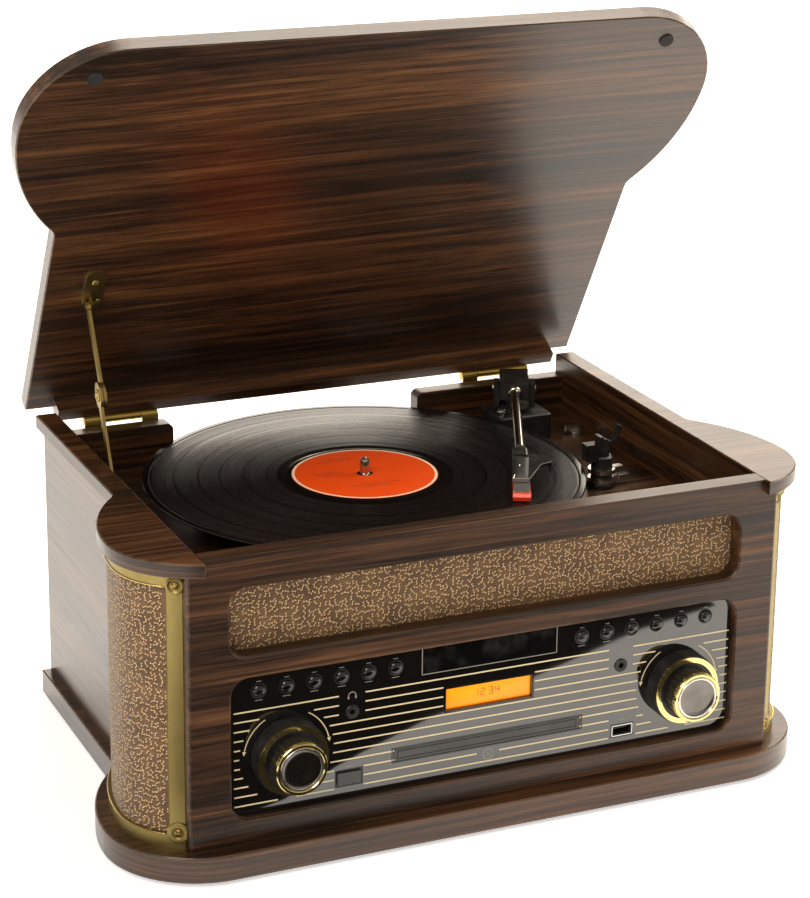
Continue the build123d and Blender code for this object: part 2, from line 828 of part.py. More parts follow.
# Turret that swings the arm: shaft, disc and forked yoke
with BuildPart() as arm_turret:
    with BuildSketch(Plane.XY.offset(turret_low)):
        with Locations((arm_pivot_x, arm_pivot_y)):
            Circle(13)
    extrude(amount=3)
    with BuildSketch(Plane.XY.offset(turret_low)):
        with Locations((arm_pivot_x, arm_pivot_y)):
            Circle(4)
    extrude(amount=-18)
    with BuildSketch(arm_section(-7)):
        with Locations((0, (turret_low + 3 + 208) / 2 - arm_height)):
            Rectangle(yoke_width, 208 - turret_low - 3)
        with Locations((0, 208 - arm_height - 9.4)):
            Rectangle(yoke_width - 2 * yoke_cheek, 19, mode=Mode.SUBTRACT)
    extrude(amount=14)
    with BuildSketch(arm_profile(cheek_half)):
        Circle(1.8)
    extrude(amount=yoke_width)
save(arm_turret.part, "arm_turret")

# Pivot block and counterweight of the arm
with BuildPart() as arm_counterweight:
    block_half = cheek_half - yoke_cheek - 0.4
    with BuildSketch(arm_section(-9)):
        Rectangle(2 * block_half, 12)
    extrude(amount=20)
    with BuildSketch(arm_section(-26)):
        with Locations((0, 0.5)):
            RectangleRounded(2 * block_half, 12, 1.5)
    extrude(amount=18)
    with BuildSketch(arm_profile(block_half + 1)):
        Circle(1.8 + running_clearance)
    extrude(amount=2 * block_half + 2, mode=Mode.SUBTRACT)
    with BuildSketch(arm_section(6)):
        Circle(arm_tube_radius)
    extrude(amount=6, mode=Mode.SUBTRACT)
save(arm_counterweight.part, "arm_counterweight")

# Arm tube
with BuildPart() as arm_tube:
    with BuildSketch(arm_section(6)):
        Circle(arm_tube_radius)
        Circle(arm_tube_radius - 0.8, mode=Mode.SUBTRACT)
    extrude(amount=150)
save(arm_tube.part, "arm_tube")

# Headshell frame: as the arm's, sloping down from the collar to the front
head_start = 160.0
head_slope = 12.0
head_width = 12.0
head_down = Vector(0, 0, -sin(radians(head_slope)))
head_dir = (arm_dir * cos(radians(head_slope)) + head_down).normalized()
head_origin = arm_origin + arm_dir * head_start + Vector(0, 0, 3.0)
head_plan = Plane(origin=head_origin, x_dir=head_dir, z_dir=arm_side.cross(head_dir) * -1)
head_profile = Plane(origin=head_origin, x_dir=head_dir, z_dir=arm_side * -1)
half_head = head_width / 2

# Headshell: a collar on the tube, a sloping plate and a finger lift that curls down at the right
with BuildPart() as headshell:
    with BuildSketch(arm_section(148)):
        RectangleRounded(10.4, 8.5, 2)
    extrude(amount=14)
    with BuildSketch(head_plan):
        with BuildLine():
            Polyline(
                (-1, -half_head),
                (31, -half_head),
                (31, half_head - 1.4),
                (12, 13),
                (8, 20.5),
                (3, 20.5),
                (-2, 16.5),
                (-1, half_head),
                close=True,
            )
        make_face()
    extrude(amount=-2.2)
    with BuildSketch(head_plan):
        with Locations((5.5, 19.7)):
            Rectangle(5, 1.6)
    extrude(amount=-8)
    with BuildSketch(arm_section(147)):
        Circle(arm_tube_radius)
    extrude(amount=9, mode=Mode.SUBTRACT)
save(headshell.part, "headshell")

# Cartridge body under the headshell's plate
with BuildPart() as cartridge:
    with BuildSketch(head_profile.offset(-half_head + 0.4)):
        with BuildLine():
            Polyline((6.5, -2.2), (32, -2.2), (40, -4.84), (22, -7), (10, -7), (6.5, -5), close=True)
        make_face()
    extrude(amount=head_width - 0.8)
save(cartridge.part, "cartridge")

# Stylus carrier with its tip just above the groove
with BuildPart() as stylus:
    with BuildSketch(head_profile.offset(-half_head)):
        with BuildLine():
            Polyline(
                (22, -7),
                (42, -4.6),
                (45, -5.6),
                (45.4, -8.2),
                (40, -8.8),
                (24, -10),
                close=True,
            )
        make_face()
    extrude(amount=head_width)
    tip_drop = record_top + 0.2 - arm_height
    with BuildSketch(arm_plan(-11)):
        with Locations((arm_length, 0)):
            Circle(0.8)
    extrude(amount=tip_drop + 11, taper=9)
save(stylus.part, "stylus")

# Post beside the platter, with the cradle for the parked arm on top
with BuildPart() as arm_post:
    with BuildSketch(Plane.XY.offset(deck_top)):
        with Locations((post_x, post_y)):
            Circle(post_radius + 2.5)
    extrude(amount=2.5)
    with BuildSketch(Plane.XY.offset(deck_top)):
        with Locations((post_x, post_y)):
            Circle(post_radius)
    extrude(amount=post_top - deck_top)
    chamfer(arm_post.edges().group_by(Axis.Z)[-1], length=1.2)
    with BuildSketch(Plane.XY.offset(post_top - 3)):
        with Locations((post_x - 5, post_y)):
            Rectangle(16, 10)
    extrude(amount=9)
    with BuildSketch(Plane.XY.offset(post_top + 2)):
        with Locations(((cradle_wall_x + 133) / 2, post_y)):
            Rectangle(cradle_wall_x - 133, 8)
    extrude(amount=cradle_top - post_top - 2)
    with BuildSketch(Plane.XY.offset(cradle_top)):
        with Locations((cradle_wall_x - 1.3, post_y)):
            Rectangle(2.6, 8)
    extrude(amount=5)
    for ear_y in (post_y - clip_width / 2 - slide_clearance, post_y + clip_width / 2 + slide_clearance + 1.2):
        with BuildSketch(Plane.XZ.offset(-ear_y)):
            with Locations((clip_x, (clip_z + post_top + 5) / 2)):
                Rectangle(2 * (clip_x - cradle_wall_x), clip_z - post_top - 5)
            with Locations((clip_x, clip_z)):
                Circle(clip_x - cradle_wall_x)
        extrude(amount=1.2)
    with BuildSketch(Plane.XZ.offset(-post_y)):
        with Locations((clip_x, clip_z)):
            Circle(clip_pin_radius)
    extrude(amount=clip_width / 2 + 1, both=True)
save(arm_post.part, "arm_post")

# Clip that folds over the parked arm, drawn shut and turned back to where it is open
clip_back = (clip_x, post_y + clip_width / 2, clip_z)
clip_turn = radians(clip_open)
clip_frame = Plane(origin=clip_back, x_dir=(cos(clip_turn), 0, -sin(clip_turn)), z_dir=(0, -1, 0))
with BuildPart() as arm_clip:
    with BuildSketch(clip_frame):
        Circle(clip_pin_radius + 0.6)
        with BuildLine():
            Polyline(
                (-1.2, 0),
                (-1.2, 6.6),
                (-12.4, 6.6),
                (-12.9, 4.6),
                (-14.0, 4.6),
                (-13.6, 8.4),
                (0.2, 8.4),
                (1.6, 7.2),
                (1.6, 0),
                close=True,
            )
        make_face()
        Circle(clip_pin_radius + running_clearance, mode=Mode.SUBTRACT)
    extrude(amount=clip_width)
save(arm_clip.part, "arm_clip")


# Levers that turn about the post
def post_lever(low, thickness, reach, width):
    with BuildPart() as lever:
        with BuildSketch(Plane.XY.offset(low)):
            with Locations((post_x, post_y)):
                Circle(post_radius + 2)
                with Locations((reach / 2 + 4, 0)):
                    Rectangle(reach - 8, width)
                Circle(post_radius + running_clearance, mode=Mode.SUBTRACT)
        extrude(amount=thickness)
    return lever.part


save(post_lever(171.0, 3.0, lever_reach, 4.5), "cue_lever")
save(post_lever(177.5, 3.0, lever_reach - 5, 4.0), "lock_lever")

# Speed selector near the right wall
selector_x = 184.0
selector_y = at_depth(56)
with BuildPart() as speed_lever:
    with BuildSketch(Plane.XY.offset(deck_top + 0.3)):
        with Locations((selector_x, selector_y)):
            Circle(6)
    extrude(amount=2)
    with BuildSketch(Plane.XY.offset(deck_top + 2.3)):
        with Locations((selector_x - 3.5, selector_y)):
            SlotOverall(13, 3)
    extrude(amount=4)
save(speed_lever.part, "speed_lever")

# Auto-stop switch near the right wall
switch_x = 181.0
switch_y = at_depth(111)
with BuildPart() as auto_stop_switch:
    with BuildSketch(Plane.XY.offset(deck_top + 0.3)):
        with Locations((switch_x, switch_y)):
            Circle(4)
    extrude(amount=1.5)
    with BuildSketch(Plane.XY.offset(deck_top + 1.8)):
        with Locations((switch_x - 2.5, switch_y)):
            SlotOverall(9, 3)
    extrude(amount=4)
save(auto_stop_switch.part, "auto_stop_switch")

# Lid frame: x to the right, y and z as they lie when the lid is shut
tilt = radians(lid_open)
hinge_origin = Vector(0, hinge_y, hinge_height)
lid_y_dir = Vector(0, cos(tilt), -sin(tilt))
lid_z_dir = Vector(0, sin(tilt), cos(tilt))


def lid_plan(height):
    rise = height - hinge_height
    return Plane(origin=hinge_origin + lid_z_dir * rise, x_dir=(1, 0, 0), z_dir=lid_z_dir)


def lid_side(x):
    return Plane(origin=hinge_origin + Vector(x, 0, 0), x_dir=lid_y_dir, z_dir=(1, 0, 0))


def lid_depth(reach):
    return lid_back_overhang - reach - hinge_behind


lid_back = rear_y + lid_back_overhang

# Lid board, the same outline as the base and a little larger all round
with BuildPart() as lid_board:
    with BuildSketch(lid_plan(lid_closed_height)):
        add(plan_outline(lid_growth, lid_half_width, lid_back).moved(Location((0, -hinge_y, 0))))
    extrude(amount=lid_thickness)
    across = lid_board.edges().group_by(Axis(hinge_origin, lid_z_dir))
    chamfer(across[0] + across[-1], length=edge_round)
save(lid_board.part, "lid_board")

# Batten that closes the gap over the rear wall
with BuildPart() as lid_batten:
    batten_half = side_inner - 2
    with BuildSketch(lid_side(-batten_half)):
        with Locations((lid_depth(batten_width / 2), lid_closed_height - batten_depth / 2 - hinge_height)):
            Rectangle(batten_width, batten_depth)
    extrude(amount=2 * batten_half)
save(lid_batten.part, "lid_batten")

# Two round bumpers near the front corners of the lid
with BuildPart() as lid_bumpers:
    with BuildSketch(lid_plan(lid_closed_height - 1.2)):
        with Locations(*[(s * bumper_x, lid_depth(bumper_reach)) for s in (-1, 1)]):
            Circle(5)
    extrude(amount=1.2)
save(lid_bumpers.part, "lid_bumpers")

# Hinge leaves: the fixed leaf carries the pin, the lid leaf turns on it
with BuildPart() as hinge_leaves_cabinet:
    tab_shift = (hinge_length - knuckle_end) / 2
    for side in (-1, 1):
        start = side * hinge_x - hinge_length / 2
        with BuildSketch(front_plane(-lid_back_overhang)):
            with Locations((side * hinge_x, hinge_height - 12)):
                Rectangle(hinge_length, 14)
            with Locations(*[(side * hinge_x + e * tab_shift, hinge_height - 3) for e in (-1, 1)]):
                Rectangle(knuckle_end, 6)
        extrude(amount=-leaf_thickness)
        for offset in (0, hinge_length - knuckle_end):
            with BuildSketch(side_plane(start + offset)):
                with Locations((hinge_y, hinge_height)):
                    Circle(knuckle_radius)
            extrude(amount=knuckle_end)
        with BuildSketch(side_plane(start)):
            with Locations((hinge_y, hinge_height)):
                Circle(pin_radius)
        extrude(amount=hinge_length)
save(hinge_leaves_cabinet.part, "hinge_leaves_cabinet")

with BuildPart() as hinge_leaves_lid:
    knuckle_middle = hinge_length - 2 * knuckle_end - 2 * knuckle_gap
    leaf_back = lid_back_overhang - hinge_behind
    for side in (-1, 1):
        start = side * hinge_x - knuckle_middle / 2
        with BuildSketch(lid_side(side * hinge_x - hinge_length / 2)):
            with Locations((leaf_back + leaf_thickness / 2, 13)):
                Rectangle(leaf_thickness, 17)
        extrude(amount=hinge_length)
        with BuildSketch(lid_side(start)):
            with Locations((leaf_back + leaf_thickness / 2, 3.5)):
                Rectangle(leaf_thickness, 7)
            Circle(knuckle_radius)
        extrude(amount=knuckle_middle)
        with BuildSketch(lid_side(start)):
            Circle(pin_radius + running_clearance)
        extrude(amount=knuckle_middle, mode=Mode.SUBTRACT)
save(hinge_leaves_lid.part, "hinge_leaves_lid")

# Lid stay: a bracket on the lid, two arms that fold at the elbow, a foot on the side panel
stay_pivot = (lid_depth(stay_reach), lid_closed_height - stay_drop - hinge_height)
stay_top_y = hinge_y + stay_pivot[0] * cos(tilt) + stay_pivot[1] * sin(tilt)
stay_top_z = hinge_height - stay_pivot[0] * sin(tilt) + stay_pivot[1] * cos(tilt)
elbow_y = at_depth(elbow_depth)
stay_low_y = at_depth(stay_foot_depth)
stay_low_z = stay_foot_height
upper_arm_x = -stay_x
lower_arm_x = -stay_x - stay_bar_thickness - 0.4

with BuildPart() as stay_bracket:
    with BuildSketch(lid_plan(lid_closed_height - 1.5)):
        with Locations((-178, lid_depth(115))):
            RectangleRounded(14, 34, 6)
    extrude(amount=1.5)
    with BuildSketch(lid_side(upper_arm_x + stay_bar_thickness + 0.3)):
        with Locations((lid_depth(stay_reach), lid_closed_height - 1.2 - hinge_height - 3.4)):
            Rectangle(8, 6.8)
    extrude(amount=1.8)
    with BuildSketch(lid_side(upper_arm_x - 0.8)):
        with Locations(stay_pivot):
            Circle(pin_radius)
    extrude(amount=stay_bar_thickness + 2.5)
save(stay_bracket.part, "stay_bracket")


def stay_bar(x, start, end, boss, bore_start, bore_end):
    length = hypot(end[0] - start[0], end[1] - start[1])
    along = Vector(0, end[0] - start[0], end[1] - start[1]).normalized()
    frame = Plane(origin=(x, start[0], start[1]), x_dir=along, z_dir=(1, 0, 0))
    with BuildPart() as bar:
        with BuildSketch(frame):
            with Locations((length / 2, 0)):
                Rectangle(length, stay_bar_width - 1.5)
            Circle(stay_bar_width / 2 + 0.5)
            with Locations((length, 0)):
                Circle(stay_bar_width / 2 + 0.5)
            with Locations((boss, 0)):
                Ellipse(9, 6)
            if bore_start:
                Circle(pin_radius + running_clearance, mode=Mode.SUBTRACT)
            if bore_end:
                with Locations((length, 0)):
                    Circle(pin_radius + running_clearance, mode=Mode.SUBTRACT)
        extrude(amount=stay_bar_thickness)
    return bar.part


upper_length = hypot(elbow_y - stay_top_y, elbow_height - stay_top_z)
save(
    stay_bar(upper_arm_x, (stay_top_y, stay_top_z), (elbow_y, elbow_height), upper_length, True, False),
    "stay_upper",
)
save(
    stay_bar(lower_arm_x, (elbow_y, elbow_height), (stay_low_y, stay_low_z), 0, False, True),
    "stay_lower",
)

with BuildPart() as stay_foot:
    with BuildSketch(side_plane(-side_inner)):
        with Locations((stay_low_y, stay_low_z - 2)):
            RectangleRounded(14, 26, 3)
    extrude(amount=1.5)
    with BuildSketch(side_plane(-side_inner)):
        with Locations((stay_low_y, stay_low_z)):
            Circle(4)
    extrude(amount=lower_arm_x + side_inner - 0.3)
    with BuildSketch(side_plane(-side_inner)):
        with Locations((stay_low_y, stay_low_z)):
            Circle(pin_radius)
    extrude(amount=lower_arm_x + side_inner + stay_bar_thickness + 0.2)
save(stay_foot.part, "stay_foot")
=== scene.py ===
from math import acos, cos, hypot, pi, radians, sin, sqrt

import bmesh
import bpy
from mathutils import Matrix, Vector


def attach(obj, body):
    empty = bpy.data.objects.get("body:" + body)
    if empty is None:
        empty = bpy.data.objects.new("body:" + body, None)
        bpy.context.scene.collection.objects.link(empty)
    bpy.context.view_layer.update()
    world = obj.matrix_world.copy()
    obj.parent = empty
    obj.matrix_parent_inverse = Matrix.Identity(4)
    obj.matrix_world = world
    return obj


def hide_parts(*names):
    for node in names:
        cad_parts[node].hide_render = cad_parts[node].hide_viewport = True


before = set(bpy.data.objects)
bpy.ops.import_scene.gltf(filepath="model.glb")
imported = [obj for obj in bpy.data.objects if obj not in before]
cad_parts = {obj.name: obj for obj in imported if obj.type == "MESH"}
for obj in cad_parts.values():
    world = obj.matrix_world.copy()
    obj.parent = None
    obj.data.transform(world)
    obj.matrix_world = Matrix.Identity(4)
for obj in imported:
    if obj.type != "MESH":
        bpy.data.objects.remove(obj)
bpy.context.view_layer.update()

scene = bpy.context.scene
MM = 0.001

# The CAD's main sizes, in millimetres
REAR = 150.2
FASCIA_Y = REAR - 299.5
PANEL_BACK_Y = REAR - 292.0
PLATTER = (-19.0, REAR - 137.0)
ARM_PIVOT = (139.0, REAR - 43.0, 203.0)
ARM_ANGLE = 24.3
POST = (147.0, REAR - 167.0)
HINGE = (REAR + 7.0, 200.0)
KNOBS = [(-138.7, 73.3, "volume"), (138.7, 73.3, "tuning")]
BUTTONS = [(s * (65.6 + 18.3 * k), 118.4) for s in (-1, 1) for k in range(6)]
JACK_X, JACK_Z = 95.0, 93.5
DISPLAY_Z = 90.0
RECORD_TOP = 188.0
HINGE_X = 146.0
SIDE_NAMES = {-1: "left", 1: "right"}
FRONT, RIGHT, UP = Vector((0, -1, 0)), Vector((1, 0, 0)), Vector((0, 0, 1))


# Materials

class Nodes:
    """A material's node tree, with short calls for what is used most."""

    def __init__(self, name, **settings):
        self.mat = bpy.data.materials.new(name)
        self.mat.use_nodes = True
        self.tree = self.mat.node_tree
        self.bsdf = self.tree.nodes["Principled BSDF"]
        for key, value in settings.items():
            self.set(key, value)

    def set(self, key, value):
        self.bsdf.inputs[key.replace("_", " ")].default_value = value

    def link(self, out, into):
        self.tree.links.new(out, into)

    def to(self, key, out):
        self.link(out, self.bsdf.inputs[key])

    def node(self, kind, **props):
        n = self.tree.nodes.new("ShaderNode" + kind)
        for key, value in props.items():
            setattr(n, key, value)
        return n

    def feed(self, socket, value):
        if isinstance(value, bpy.types.NodeSocket):
            self.link(value, socket)
        else:
            socket.default_value = value

    def coords(self, kind="Object"):
        return self.node("TexCoord").outputs[kind]

    def mapping(self, vec, scale=(1, 1, 1), loc=(0, 0, 0), rot=(0, 0, 0)):
        m = self.node("Mapping")
        self.link(vec, m.inputs["Vector"])
        m.inputs["Scale"].default_value = scale
        m.inputs["Location"].default_value = loc
        m.inputs["Rotation"].default_value = rot
        return m.outputs[0]

    def noise(self, vec, scale=1.0, detail=3.0, rough=0.5, distortion=0.0, out="Fac"):
        n = self.node("TexNoise")
        self.link(vec, n.inputs["Vector"])
        n.inputs["Scale"].default_value = scale
        n.inputs["Detail"].default_value = detail
        n.inputs["Roughness"].default_value = rough
        n.inputs["Distortion"].default_value = distortion
        return n.outputs[out]

    def math(self, op, a, b=0.0, c=0.0, clamp=False):
        n = self.node("Math", operation=op, use_clamp=clamp)
        self.feed(n.inputs[0], a)
        self.feed(n.inputs[1], b)
        self.feed(n.inputs[2], c)
        return n.outputs[0]

    def vmath(self, op, a, b=(0, 0, 0), out=0):
        n = self.node("VectorMath", operation=op)
        self.feed(n.inputs[0], a)
        self.feed(n.inputs[1], b)
        return n.outputs[out]

    def ramp(self, fac, stops, interp="LINEAR"):
        n = self.node("ValToRGB")
        n.color_ramp.interpolation = interp
        el = n.color_ramp.elements
        while len(el) < len(stops):
            el.new(0.5)
        for e, (p, c) in zip(el, stops):
            e.position = p
            e.color = (*c, 1) if len(c) == 3 else c
        self.link(fac, n.inputs[0])
        return n.outputs[0]

    def mix(self, fac, a, b, blend="MIX"):
        n = self.node("Mix", data_type="RGBA", blend_type=blend)
        self.feed(n.inputs[0], fac)
        self.feed(n.inputs[6], a)
        self.feed(n.inputs[7], b)
        return n.outputs[2]

    def span(self, value, lo, hi, to_lo=0.0, to_hi=1.0):
        n = self.node("MapRange")
        self.feed(n.inputs[0], value)
        for i, v in enumerate((lo, hi, to_lo, to_hi), start=1):
            n.inputs[i].default_value = v
        return n.outputs[0]

    def split(self, vec):
        n = self.node("SeparateXYZ")
        self.link(vec, n.inputs[0])
        return n.outputs

    def join(self, x=0.0, y=0.0, z=0.0):
        n = self.node("CombineXYZ")
        for i, v in enumerate((x, y, z)):
            self.feed(n.inputs[i], v)
        return n.outputs[0]

    def bump(self, height, strength=0.3, distance=0.0005, normal=None):
        n = self.node("Bump")
        n.inputs["Strength"].default_value = strength
        n.inputs["Distance"].default_value = distance
        self.link(height, n.inputs["Height"])
        if normal is not None:
            self.link(normal, n.inputs["Normal"])
        self.to("Normal", n.outputs[0])
        return n.outputs[0]


def srgb(text, k=1.0):
    c = [int(text[i:i + 2], 16) / 255 for i in (1, 3, 5)]
    return tuple(k * (v / 12.92 if v <= 0.04045 else ((v + 0.055) / 1.055) ** 2.4) for v in c)


def wood(name, axis, shift=0.0, rough=0.36, tone=0.76, tilt=0.0, coat=0.25, banded=False):
    """Dark walnut film with streaks a few millimetres wide along one axis.

    On a banded board the upright edges have streaks that follow the edge instead.
    """
    m = Nodes(name, Coat_Weight=coat, Coat_Roughness=0.24, IOR=1.45)
    p = m.coords()
    if tilt:
        p = m.mapping(p, rot=(0, tilt, 0) if axis == 0 else (0, 0, tilt))
    low = m.noise(m.mapping(p, scale=(3, 3, 3), loc=(shift, shift, 0)), 1.0, 2.0, out="Color")
    warp = m.vmath("MULTIPLY", m.vmath("SUBTRACT", low, (0.5, 0.5, 0.5)), (0.010, 0.010, 0.010))
    q = m.vmath("ADD", p, warp)

    def along(a, c, k):
        s = [c, c, c]
        s[axis] = a
        grain = m.mapping(q, scale=s, loc=(shift * k,) * 3)
        if not banded:
            return grain
        around = m.mapping(q, scale=(a, a, c), loc=(shift * k,) * 3)
        upright = m.math("LESS_THAN", m.math("ABSOLUTE", m.split(m.coords("Normal"))[2]), 0.6)
        turn = m.vmath("SUBTRACT", around, grain)
        return m.vmath("ADD", grain, m.vmath("MULTIPLY", turn, m.join(upright, upright, upright)))

    streak = m.noise(along(4, 260, 1), 1.0, 5.0, 0.66)
    fine = m.noise(along(16, 900, 2), 1.0, 3.0, 0.6)
    broad = m.noise(along(1.2, 38, 3), 1.0, 3.0, 0.5)
    pores = m.noise(along(30, 1500, 4), 1.0, 2.0, 0.5)
    v = m.math("ADD", m.math("MULTIPLY", streak, 0.62), m.math("MULTIPLY", broad, 0.38))
    v = m.math("ADD", v, m.math("MULTIPLY", m.math("SUBTRACT", fine, 0.5), 0.30))
    dark, mid, warm, light = (srgb(c, tone) for c in ("#120A05", "#2E1C0F", "#54341C", "#80552F"))
    col = m.ramp(v, [(0.34, dark), (0.45, mid), (0.55, warm), (0.68, light)])
    pit = m.span(pores, 0.56, 0.70)
    col = m.mix(m.math("MULTIPLY", pit, 0.45), col, (*srgb("#120A06", tone), 1))
    # Lighter colour along the edges, found by a bevel mask: a painted highlight.
    bevel = m.node("Bevel", samples=4)
    bevel.inputs["Radius"].default_value = 0.0008
    geo = m.node("NewGeometry")
    edge = m.span(m.vmath("DOT_PRODUCT", bevel.outputs[0], geo.outputs["Normal"], out=1), 0.99, 0.90)
    edge_highlight = m.math("MULTIPLY", edge, m.span(streak, 0.40, 0.62, 0.15, 0.60))
    col = m.mix(edge_highlight, col, (*srgb("#9A7650", tone), 1))
    m.to("Base Color", col)
    m.to("Roughness", m.span(fine, 0.3, 0.7, rough - 0.05, rough + 0.07))
    h = m.math("ADD", m.math("MULTIPLY", fine, 0.6), m.math("MULTIPLY", pit, -0.5))
    m.bump(h, 0.22, 0.0002)
    return m.mat


def satin_metal(name, colour, rough, grain=600.0, brushed=None, bump=0.06, tarnish="#5A4420", amount=0.15):
    m = Nodes(name, Metallic=1.0)
    p = m.coords()
    scale = [grain, grain, grain]
    if brushed is not None:
        scale[brushed] = grain / 30
    n = m.noise(m.mapping(p, scale=scale), 1.0, 3.0)
    cloud = m.noise(m.mapping(p, scale=(60, 60, 60)), 1.0, 3.0)
    base = srgb(colour)
    col = m.mix(m.span(cloud, 0.45, 0.75, 0.0, amount), (*base, 1), (*srgb(tarnish), 1))
    m.to("Base Color", col)
    m.to("Roughness", m.span(n, 0.3, 0.7, rough * 0.85, rough * 1.2))
    m.bump(n, bump, 0.0001)
    return m.mat


def plastic(name, colour, rough, grain=1800.0, bump=0.08, coat=0.0, ior=1.5, dust=0.03, metal=0.0):
    m = Nodes(name, IOR=ior, Coat_Weight=coat, Coat_Roughness=0.05, Metallic=metal)
    p = m.coords()
    n = m.noise(m.mapping(p, scale=(grain, grain, grain)), 1.0, 2.0)
    cloud = m.noise(m.mapping(p, scale=(90, 90, 90)), 1.0, 4.0)
    base = srgb(colour)
    lift = tuple(min(1, c + dust) for c in base)
    m.to("Base Color", m.mix(m.span(cloud, 0.45, 0.75, 0.0, 0.6), (*base, 1), (*lift, 1)))
    m.to("Roughness", m.span(cloud, 0.3, 0.7, rough * 0.9, rough * 1.15))
    m.bump(n, bump, 0.0001)
    return m.mat


def cloth_material():
    """Bronze grille cloth: a fine weave with short crooked gold threads and their shadows.

    Its UV coordinates are metres.
    """
    m = Nodes("grille_weave", Roughness=0.75, Sheen_Weight=0.25, Sheen_Roughness=0.4)
    uv = m.coords("UV")
    wob = m.noise(m.mapping(uv, scale=(150, 150, 150)), 1.0, 2.0, out="Color")
    shake = m.vmath("MULTIPLY", m.vmath("SUBTRACT", wob, (0.5, 0.5, 0.5)), (0.0012, 0.0012, 0))
    p = m.vmath("ADD", uv, shake)
    x, y = m.split(p)[0], m.split(p)[1]
    thread = 0.0009
    wx = m.math("SINE", m.math("MULTIPLY", x, 2 * pi / thread))
    wy = m.math("SINE", m.math("MULTIPLY", y, 2 * pi / thread))
    weave = m.math("MULTIPLY", m.math("ADD", m.math("MULTIPLY", wx, wy), 1.0), 0.5)

    def strokes(offset, length, width, swing, pitch=0.0036):
        v = m.node("TexVoronoi", voronoi_dimensions="2D", feature="F1")
        v.inputs["Scale"].default_value = 1 / pitch
        v.inputs["Randomness"].default_value = 0.62
        m.link(m.vmath("ADD", uv, offset), v.inputs["Vector"])
        local = m.vmath("SUBTRACT", m.vmath("ADD", uv, offset), v.outputs["Position"])
        lx, ly = m.split(local)[0], m.split(local)[1]
        turn = m.math("MULTIPLY", m.split(v.outputs["Color"])[0], 2 * pi)
        c, s = m.math("COSINE", turn), m.math("SINE", turn)
        u = m.math("ADD", m.math("MULTIPLY", lx, c), m.math("MULTIPLY", ly, s))
        w = m.math("SUBTRACT", m.math("MULTIPLY", ly, c), m.math("MULTIPLY", lx, s))
        bend = m.math("MULTIPLY", m.math("SINE", m.math("MULTIPLY", u, 2 * pi / (1.9 * length))), swing)
        off = m.math("ABSOLUTE", m.math("SUBTRACT", w, bend))
        body = m.span(off, width, width * 0.45)
        ends = m.span(m.math("ABSOLUTE", u), length, length * 0.85)
        return m.math("MULTIPLY", body, ends)

    gold = strokes((0, 0, 0), 0.0015, 0.00040, 0.00075)
    shade = strokes((-0.0004, 0.0006, 0), 0.0018, 0.00055, 0.00075)
    cloud = m.noise(m.mapping(uv, scale=(70, 70, 70)), 1.0, 3.0)
    base = m.ramp(cloud, [(0.30, srgb("#5C432E")), (0.55, srgb("#775A3E")), (0.75, srgb("#8C6A48"))])
    base = m.mix(m.math("MULTIPLY", m.math("SUBTRACT", 1.0, weave), 0.55), base, (*srgb("#3E2616"), 1))
    base = m.mix(m.math("MULTIPLY", shade, 0.85), base, (*srgb("#140A05"), 1))
    m.to("Base Color", m.mix(gold, base, (*srgb("#F2CF96"), 1)))
    h = m.math("ADD", m.math("MULTIPLY", weave, 0.35), m.math("MULTIPLY", gold, 1.0))
    bare_shade = m.math("MULTIPLY", shade, m.math("SUBTRACT", 1.0, gold))
    h = m.math("SUBTRACT", h, m.math("MULTIPLY", bare_shade, 0.5))
    m.bump(h, 0.55, 0.0006)
    return m.mat


def record_material():
    """Pressed vinyl: grooves about the spindle, wider gaps between tracks, and a highlight drawn out across them."""
    m = Nodes("record_grooves", IOR=1.45, Anisotropic=0.8, Specular_IOR_Level=0.42)
    p = m.coords()
    rel = m.vmath("SUBTRACT", p, (PLATTER[0] * MM, PLATTER[1] * MM, 0))
    flat = m.vmath("MULTIPLY", rel, (1, 1, 0))
    r = m.vmath("LENGTH", flat, out=1)
    groove = m.math("SINE", m.math("MULTIPLY", r, 2 * pi / 0.0009))
    bands = m.noise(m.join(m.math("MULTIPLY", r, 900.0)), 1.0, 4.0, 0.7)
    wide = m.noise(m.join(m.math("MULTIPLY", r, 130.0)), 1.0, 2.0, 0.5)
    gap = m.math("ADD", 0.0, 0.0)
    for at in (0.0665, 0.0822, 0.0985, 0.1131, 0.1294, 0.1448):
        near = m.span(m.math("ABSOLUTE", m.math("SUBTRACT", r, at)), 0.0007, 0.0003)
        gap = m.math("MAXIMUM", gap, near)
    smooth = m.math("MAXIMUM", gap, m.span(r, 0.0600, 0.0594))
    smooth = m.math("MAXIMUM", smooth, m.span(r, 0.1462, 0.1466))
    col = m.mix(m.span(bands, 0.35, 0.7), (*srgb("#080707"), 1), (*srgb("#141110"), 1))
    m.to("Base Color", m.mix(smooth, col, (*srgb("#0A0909"), 1)))
    rough = m.math("ADD", m.span(wide, 0.3, 0.7, 0.22, 0.34), m.math("MULTIPLY", smooth, -0.14))
    m.to("Roughness", rough)
    tangent = m.node("VectorMath", operation="CROSS_PRODUCT")
    tangent.inputs[0].default_value = (0, 0, 1)
    m.link(flat, tangent.inputs[1])
    world = m.node("VectorTransform", vector_type="VECTOR", convert_from="OBJECT", convert_to="WORLD")
    m.link(m.vmath("NORMALIZE", tangent.outputs[0]), world.inputs[0])
    m.to("Tangent", world.outputs[0])
    h = m.math("MULTIPLY", m.math("ADD", groove, bands), m.math("SUBTRACT", 1.0, smooth))
    m.bump(h, 0.18, 0.0001)
    return m.mat


